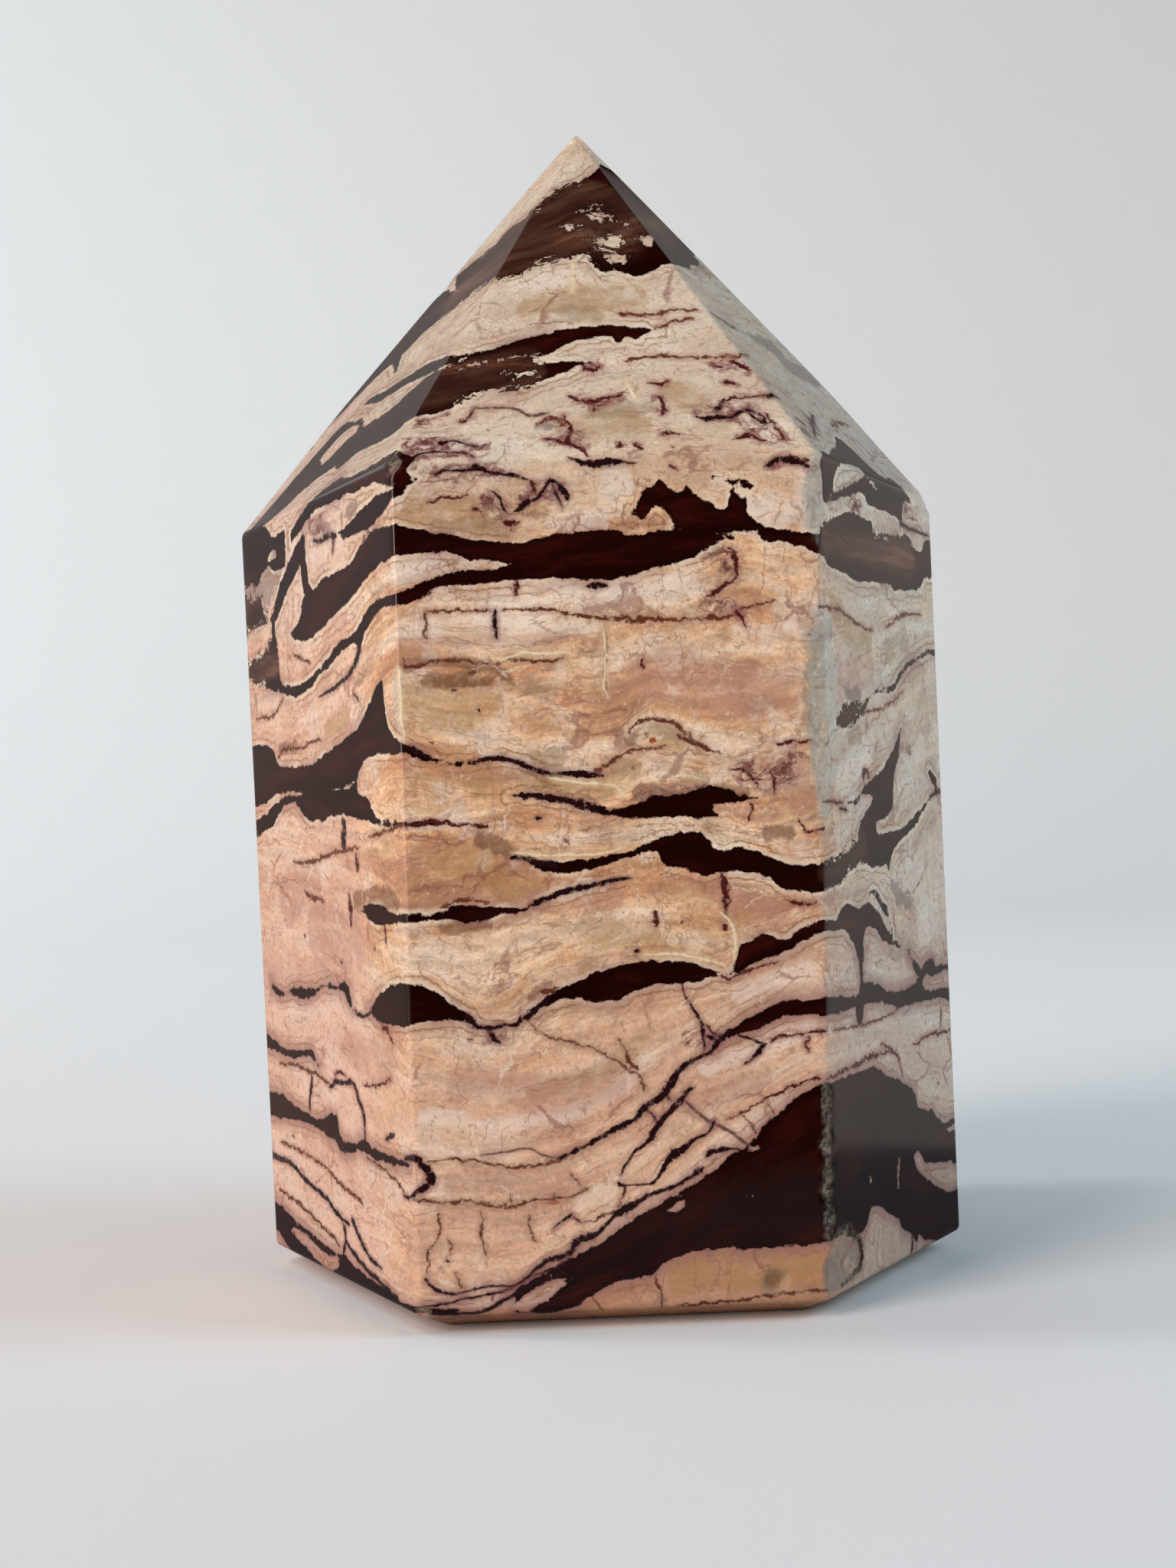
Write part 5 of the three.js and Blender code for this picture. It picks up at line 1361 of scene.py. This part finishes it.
# %% Bruises
RED, HALO, LILAC = "58282a", "a8604e", "b7a39c"
clot = add(NOISE, {"Vector": lens_shaped, "Scale": size(0.65), "Detail": 4, "Roughness": 0.72})
allowed = add(MATH, [channels["bruise"], 0.15], operation="MULTIPLY")
clot = add(MATH, [clot, allowed], operation="ADD")
grain_edge = add(CELLS, {"Vector": lens_shaped, "Scale": size(1)}, feature="DISTANCE_TO_EDGE")
rind = add(RANGE, [clot, 0.5, 0.7, -0.03, 0.16])
rind = add(MATH, [rind, grain_edge], operation="SUBTRACT")
rind = add(RANGE, [rind, -0.02, 0.03, 0, 0.6])
rind = add(MATH, [rind, channels["bruise"]], operation="MULTIPLY", use_clamp=True)
SHELLS = ((LILAC, 0.54, 0.64, 0.45), (HALO, 0.6, 0.7, 0.4), (RED, 0.675, 0.74, 0.85))
for code, low, high, strength in SHELLS:
    mask = add(RANGE, [clot, low, high, 0, strength])
    mask = add(MATH, [mask, channels["bruise"]], operation="MULTIPLY", use_clamp=True)
    ground = laid_over(mask, ground, code)
ground = laid_over(rind, ground, "6d3a38")
print("clots up to 0.7 mm, and rinds round grains of 1 mm")

# %% [markdown]
# The dark beds are the level field, with noise added so that an edge wanders as a real one does. Just
# outside it the ground is bleached in places and purple in others, just inside it is nearly black, and then
# it is maroon.

# %% Dark beds
ragged = add(NOISE, {"Vector": bent, "Scale": size(1.3), "Detail": 5, "Roughness": 0.68})
ragged = add(RANGE, [ragged, 0.25, 0.75, -0.22, 0.32])
granular = add(NOISE, {"Vector": lens_shaped, "Scale": size(0.55), "Detail": 3, "Roughness": 0.8})
granular = add(RANGE, [granular, 0.3, 0.7, -0.7, 0.9])
granular = add(MATH, [granular, channels["rust"]], operation="MULTIPLY")
level = add(FIELD, attribute_name="dark").outputs["Fac"]
level = add(MATH, [level, ragged], operation="ADD")
which = add(NOISE, {"Vector": place, "Scale": size(10), "Detail": 2})
purple = add(RANGE, [which, 0.52, 0.4, 0, 0.6])
near = add(RANGE, [level, -1.2, 0])
in_fold = add(RANGE, [bed, 33, 26, 0, 0.75])
purple = add(MATH, [purple, in_fold], operation="MAXIMUM")
purple = add(MATH, [near, purple], operation="MULTIPLY")
ground = laid_over(purple, ground, "916460")
bleach = add(RANGE, [level, -0.45, -0.1, 0, 0.7])
bleach_where = add(NOISE, {"Vector": bent, "Scale": size(4), "Detail": 4})
bleach_where = add(RANGE, [bleach_where, 0.46, 0.56])
bleach = add(MATH, [bleach, bleach_where], operation="MULTIPLY")
above_fold = add(RANGE, [bed, 24, 30])
bleach = add(MATH, [bleach, above_fold], operation="MULTIPLY")
ground = laid_over(bleach, ground, "eddac0")
contour_where = add(RANGE, [web_where, 0.47, 0.53])
for away, code, strength in ((0.5, "8d6136", 0.7), (1.1, "a6755a", 0.5)):
    beside = add(MATH, [level, away], operation="ADD")
    beside = add(MATH, [beside], operation="ABSOLUTE")
    contour = add(RANGE, [beside, 0.1, 0.03, 0, strength])
    contour = add(MATH, [contour, contour_where], operation="MULTIPLY")
    ground = laid_over(contour, ground, code)
level = add(MATH, [level, granular], operation="ADD")
banks = add(NOISE, {"Vector": layered, "Scale": size(2.4), "Detail": 6, "Roughness": 0.7})
maroon = add(RAMP, [banks], [(0.3, "120302"), (0.75, "5a2216"), (0.49, "210604"), (0.62, "390f09")])
chocolate = add(RAMP, [banks], [(0.3, "24100b"), (0.7, "7a5545"), (0.46, "3b2018"), (0.58, "553628")])
inside = laid_over(channels["rust"], maroon, chocolate)
rim = add(RANGE, [level, 0.1, 0.6, 0.7, 0])
inside = laid_over(rim, inside, "190605")
is_dark = add(RANGE, [level, -0.04, 0.06])
colour = laid_over(is_dark, ground, inside)
print("edges wander by 0.3 mm")

# %% [markdown]
# Each vein layer is read back and drawn over everything else. The line sways and swells with noise: the
# brown and red ones fray and break up, the inky ones are steadier. Round a line the iron has coloured the
# stone a little way out, which is its halo. A vein could be a mesh of its own, but it lies in the stone and
# is polished with it.

# %% Veins on top
frays = add(NOISE, {"Vector": place, "Scale": size(0.9), "Detail": 4, "Roughness": 0.68})
rough_sway = add(RANGE, [frays, 0.25, 0.75, -0.28, 0.28])
slow = add(NOISE, {"Vector": place, "Scale": size(1.5), "Detail": 5, "Roughness": 0.66})
slow_sway = add(RANGE, [slow, 0.25, 0.75, -0.16, 0.16])
swell = add(NOISE, {"Vector": bent, "Scale": size(0.55), "Detail": 4, "Roughness": 0.7})
steady_swell = add(RANGE, [swell, 0.35, 0.65, 0.45, 1.55])
broken_swell = add(RANGE, [swell, 0.4, 0.66, 0.5, 2.1])
bloom = add(RANGE, [fray, -0.3, 0.3, 0.3, 1.1])
outside = add(MATH, [1, is_dark], operation="SUBTRACT")
for number in range(len(vein_fields)):
    read = add(FIELD, attribute_name=f"vein_{number}").outputs["Vector"]
    parted = add(PARTS, [read])
    steady = add(RANGE, [parted.outputs[2], 0.4, 0.5])
    sway = add(MIX, {0: steady, 2: rough_sway, 3: slow_sway}, data_type="FLOAT")
    swayed = add(MATH, [parted.outputs[0], sway], operation="ADD")
    off = add(MATH, [swayed], operation="ABSOLUTE")
    swelling = add(MIX, {0: steady, 2: broken_swell, 3: steady_swell}, data_type="FLOAT")
    wide = add(MATH, [parted.outputs[1], swelling], operation="MULTIPLY")
    inner = add(MATH, [wide, off], operation="SUBTRACT")
    halo = add(RANGE, [inner, -0.7, 0, 0, 0.66])
    halo = add(MATH, [halo, outside], operation="MULTIPLY")
    halo = add(MATH, [halo, bloom], operation="MULTIPLY")
    tone = add(RAMP, [parted.outputs[2]], [(at, code) for at, code, _ in TONES.values()])
    veiled = add(RAMP, [parted.outputs[2]], [(at, code) for at, _, code in TONES.values()])
    colour = laid_over(halo, colour, veiled)
    mask = add(RANGE, [inner, -0.1, 0.05])
    colour = laid_over(mask, colour, tone)
print("vein layers in the material:", len(vein_fields))

# %% [markdown]
# Where the stone is broken it isn't polished: the face scatters light, and crumbly dust lies in patches on
# it. The polish itself is that of a tumbler's last stage, with a faint unevenness that only shows in
# reflections.

# %% Polish
POLISH, BROKEN_ROUGHNESS = 0.13, 0.6
QUARTZ_IOR = 1.544
GLOSS_LEVEL = 0.3
broken_share = add(FIELD, attribute_name="broken").outputs["Fac"]
crumbly = add(NOISE, {"Vector": place, "Scale": size(0.5), "Detail": 5, "Roughness": 0.7})
crumbly = add(RANGE, [crumbly, 0.42, 0.62, 0.05, 0.75])
dusty = add(MATH, [broken_share, crumbly], operation="MULTIPLY")
colour = laid_over(dusty, colour, "a8967e")
roughness = add(RANGE, [broken_share, 0, 0.6, POLISH, BROKEN_ROUGHNESS])
grain = add(NOISE, {"Vector": place, "Scale": size(0.35), "Detail": 3})
relief = add(MATH, [grain, broken_share], operation="MULTIPLY")
waves = add(NOISE, {"Vector": place, "Scale": size(14), "Detail": 1})
waves = add(MATH, [waves, 0.25], operation="MULTIPLY")
relief = add(MATH, [relief, waves], operation="ADD")
bump = add("ShaderNodeBump", {"Height": relief, "Strength": 0.35, "Distance": 0.25 * MM})
inputs = {"Base Color": colour, "Roughness": roughness, "IOR": QUARTZ_IOR, "Normal": bump}
surface = add("ShaderNodeBsdfPrincipled", {**inputs, "Specular IOR Level": GLOSS_LEVEL})
add("ShaderNodeOutputMaterial", {"Surface": surface})
skin_mesh.materials.append(jasper)
print("nodes in the jasper:", len(tree.nodes))

# %% [markdown]
# The stage is a wide shallow dish of matt paper: flat under the stone, then rising in a smooth curve on all
# sides, so that no horizon shows from any angle. The picture was taken in a room where the camera's side was
# dark, and that gives the front its depth of colour. A photographer hangs black cloth there. Here the paper
# on that side is left out of reflections, which shows the front a dim room instead.

# %% Paper
FLAT_RADIUS, DISH_RADIUS, DISH_HEIGHT, FLAT_SHARE = 0.55, 1.5, 1.3, 0.3
CLOTH_FROM, CLOTH_TO = -148, -32  # degrees round, with the camera at -90


def dish_part(name, start, end):
    """A sector of the dish: flat, then a quarter of an ellipse, turned about the axis from start to end."""
    t = np.linspace(0, 1, 40)[:, None]
    turned = np.radians(np.linspace(start, end, 61))[None]
    sweep = np.clip((t - FLAT_SHARE) / (1 - FLAT_SHARE), 0, 1) * math.pi / 2
    flat = FLAT_RADIUS * np.minimum(t / FLAT_SHARE, 1)
    radius = flat + (DISH_RADIUS - FLAT_RADIUS) * np.sin(sweep)
    height = DISH_HEIGHT * (1 - np.cos(sweep)) + 0 * turned
    grid = np.stack([radius * np.cos(turned), radius * np.sin(turned), height], axis=-1)
    rows, columns = grid.shape[:2]
    corner = np.arange(rows - 1)[:, None] * columns + np.arange(columns - 1)
    quads = np.stack([corner, corner + columns, corner + columns + 1, corner + 1], axis=-1).reshape(-1, 4)
    mesh = bpy.data.meshes.new(name)
    mesh.from_pydata(grid.reshape(-1, 3).tolist(), [], quads.tolist())
    mesh.polygons.foreach_set("use_smooth", np.ones(len(mesh.polygons), bool))
    mesh.materials.append(matt)
    part = bpy.data.objects.new(name, mesh)
    bpy.context.scene.collection.objects.link(part)
    return part


matt = bpy.data.materials.new("matt_paper")
matt.use_nodes = True
for socket, value in (("Base Color", rgb("ecebea")), ("Roughness", 0.9), ("Specular IOR Level", 0.1)):
    matt.node_tree.nodes["Principled BSDF"].inputs[socket].default_value = value
dish_part("paper", CLOTH_TO, CLOTH_FROM + 360)
dish_part("paper_at_the_camera", CLOTH_FROM, CLOTH_TO).visible_glossy = False
print("paper out to", DISH_RADIUS, "m")

# %% [markdown]
# The sides beside the front mirror what stands to the left and right of them, the point's side facets mirror
# what is higher up behind, and the bevel mirrors the floor. White paper would veil their dark bands in too
# much grey. A photographer sets small grey cards round the piece, and so does this scene: one on each side,
# one behind and two mats under the stone. They show in reflections only, not to the camera.

# %% Cards
BESIDE, CARD_HIGH = 0.065, 0.0435  # from the stone's axis to a card beside it, and the card's middle
BEHIND, POINT_HIGH = 0.12, 0.08


def card(name, azimuth, elevation, away, height, extent, code):
    """A card facing a point on the axis, and seen from there at these angles, in reflections only."""
    azimuth, elevation = math.radians(azimuth), math.radians(elevation)
    level = Vector((math.cos(azimuth), math.sin(azimuth), 0))
    side, lift = Vector((-math.sin(azimuth), math.cos(azimuth), 0)), Vector((0, 0, 1))
    middle = level * away * math.cos(elevation) + lift * (height + away * math.sin(elevation))
    tall = lift * math.cos(elevation) - level * math.sin(elevation)
    half_side, half_tall = side * extent[0] / 2, tall * extent[1] / 2
    corners = [middle + x * half_side + y * half_tall for x, y in ((-1, -1), (1, -1), (1, 1), (-1, 1))]
    mesh = bpy.data.meshes.new(name)
    mesh.from_pydata(corners, [], [(0, 1, 2, 3)])
    cardboard = bpy.data.materials.new(name)
    cardboard.use_nodes = True
    for socket, value in (("Base Color", rgb(code)), ("Roughness", 0.9)):
        cardboard.node_tree.nodes["Principled BSDF"].inputs[socket].default_value = value
    mesh.materials.append(cardboard)
    made = bpy.data.objects.new(name, mesh)
    bpy.context.scene.collection.objects.link(made)
    made.visible_camera = made.visible_diffuse = made.visible_shadow = False


# Painted shade in reflections: the cards and mats are darker than the lit paper, and stand for the shaded
# surroundings that the sides, the point and the bevel mirror.
card("card_left", 140, 0, BESIDE, CARD_HIGH, (0.12, 0.085), "ccbeb6")
card("card_right", 34, 0, BESIDE, CARD_HIGH, (0.12, 0.085), "cdcac6")
card("card_behind", 88, 28, BEHIND, POINT_HIGH, (0.24, 0.1), "93908d")
card("mat_right", 34, -90, 0, 0.8 * MM, (0.1, 0.15), "6f7376")
card("mat_left", 140, -90, 0, 0.6 * MM, (0.1, 0.15), "8d8580")
print("cards for the sides, for the point and for the foot")

# %% [markdown]
# The light is that of a room by day: a tall window to the left of the camera, a fainter blue one from the
# right, and the walls behind, which a lamp turned to the paper stands for. Area lamps give the soft shadow
# of each.

# %% Light
LIGHTS = [  # name, from, towards, width and height, watts, colour
    ("window", (-0.72, -0.62, 0.42), (0, 0, 0.05), (0.45, 0.95), 9.3, "fff0ea"),
    ("second window", (0.62, -0.12, 0.46), (0, 0, 0.05), (0.35, 0.35), 2.3, "b8def4"),
    ("wall wash", (-0.6, 0.1, 0.95), (-0.35, 1.4, 0.6), (0.5, 0.5), 8.6, "f4fbff"),
]
for name, origin, aim, (width, height), watts, code in LIGHTS:
    lamp = bpy.data.lights.new(name, "AREA")
    lamp.shape = "RECTANGLE"
    lamp.size, lamp.size_y = width, height
    lamp.energy = watts
    lamp.color = rgb(code)[:3]
    holder = bpy.data.objects.new(name, lamp)
    facing = (Vector(aim) - Vector(origin)).to_track_quat("-Z", "Y")
    holder.matrix_world = Matrix.Translation(origin) @ facing.to_matrix().to_4x4()
    bpy.context.scene.collection.objects.link(holder)
world = bpy.data.worlds.new("room")
world.use_nodes = True
world.node_tree.nodes["Background"].inputs["Color"].default_value = rgb("e8eef2")
world.node_tree.nodes["Background"].inputs["Strength"].default_value = 0.2
world.cycles_visibility.glossy = False
bpy.context.scene.world = world
bpy.context.scene.view_settings.view_transform = "Standard"
print("lights:", len(LIGHTS))
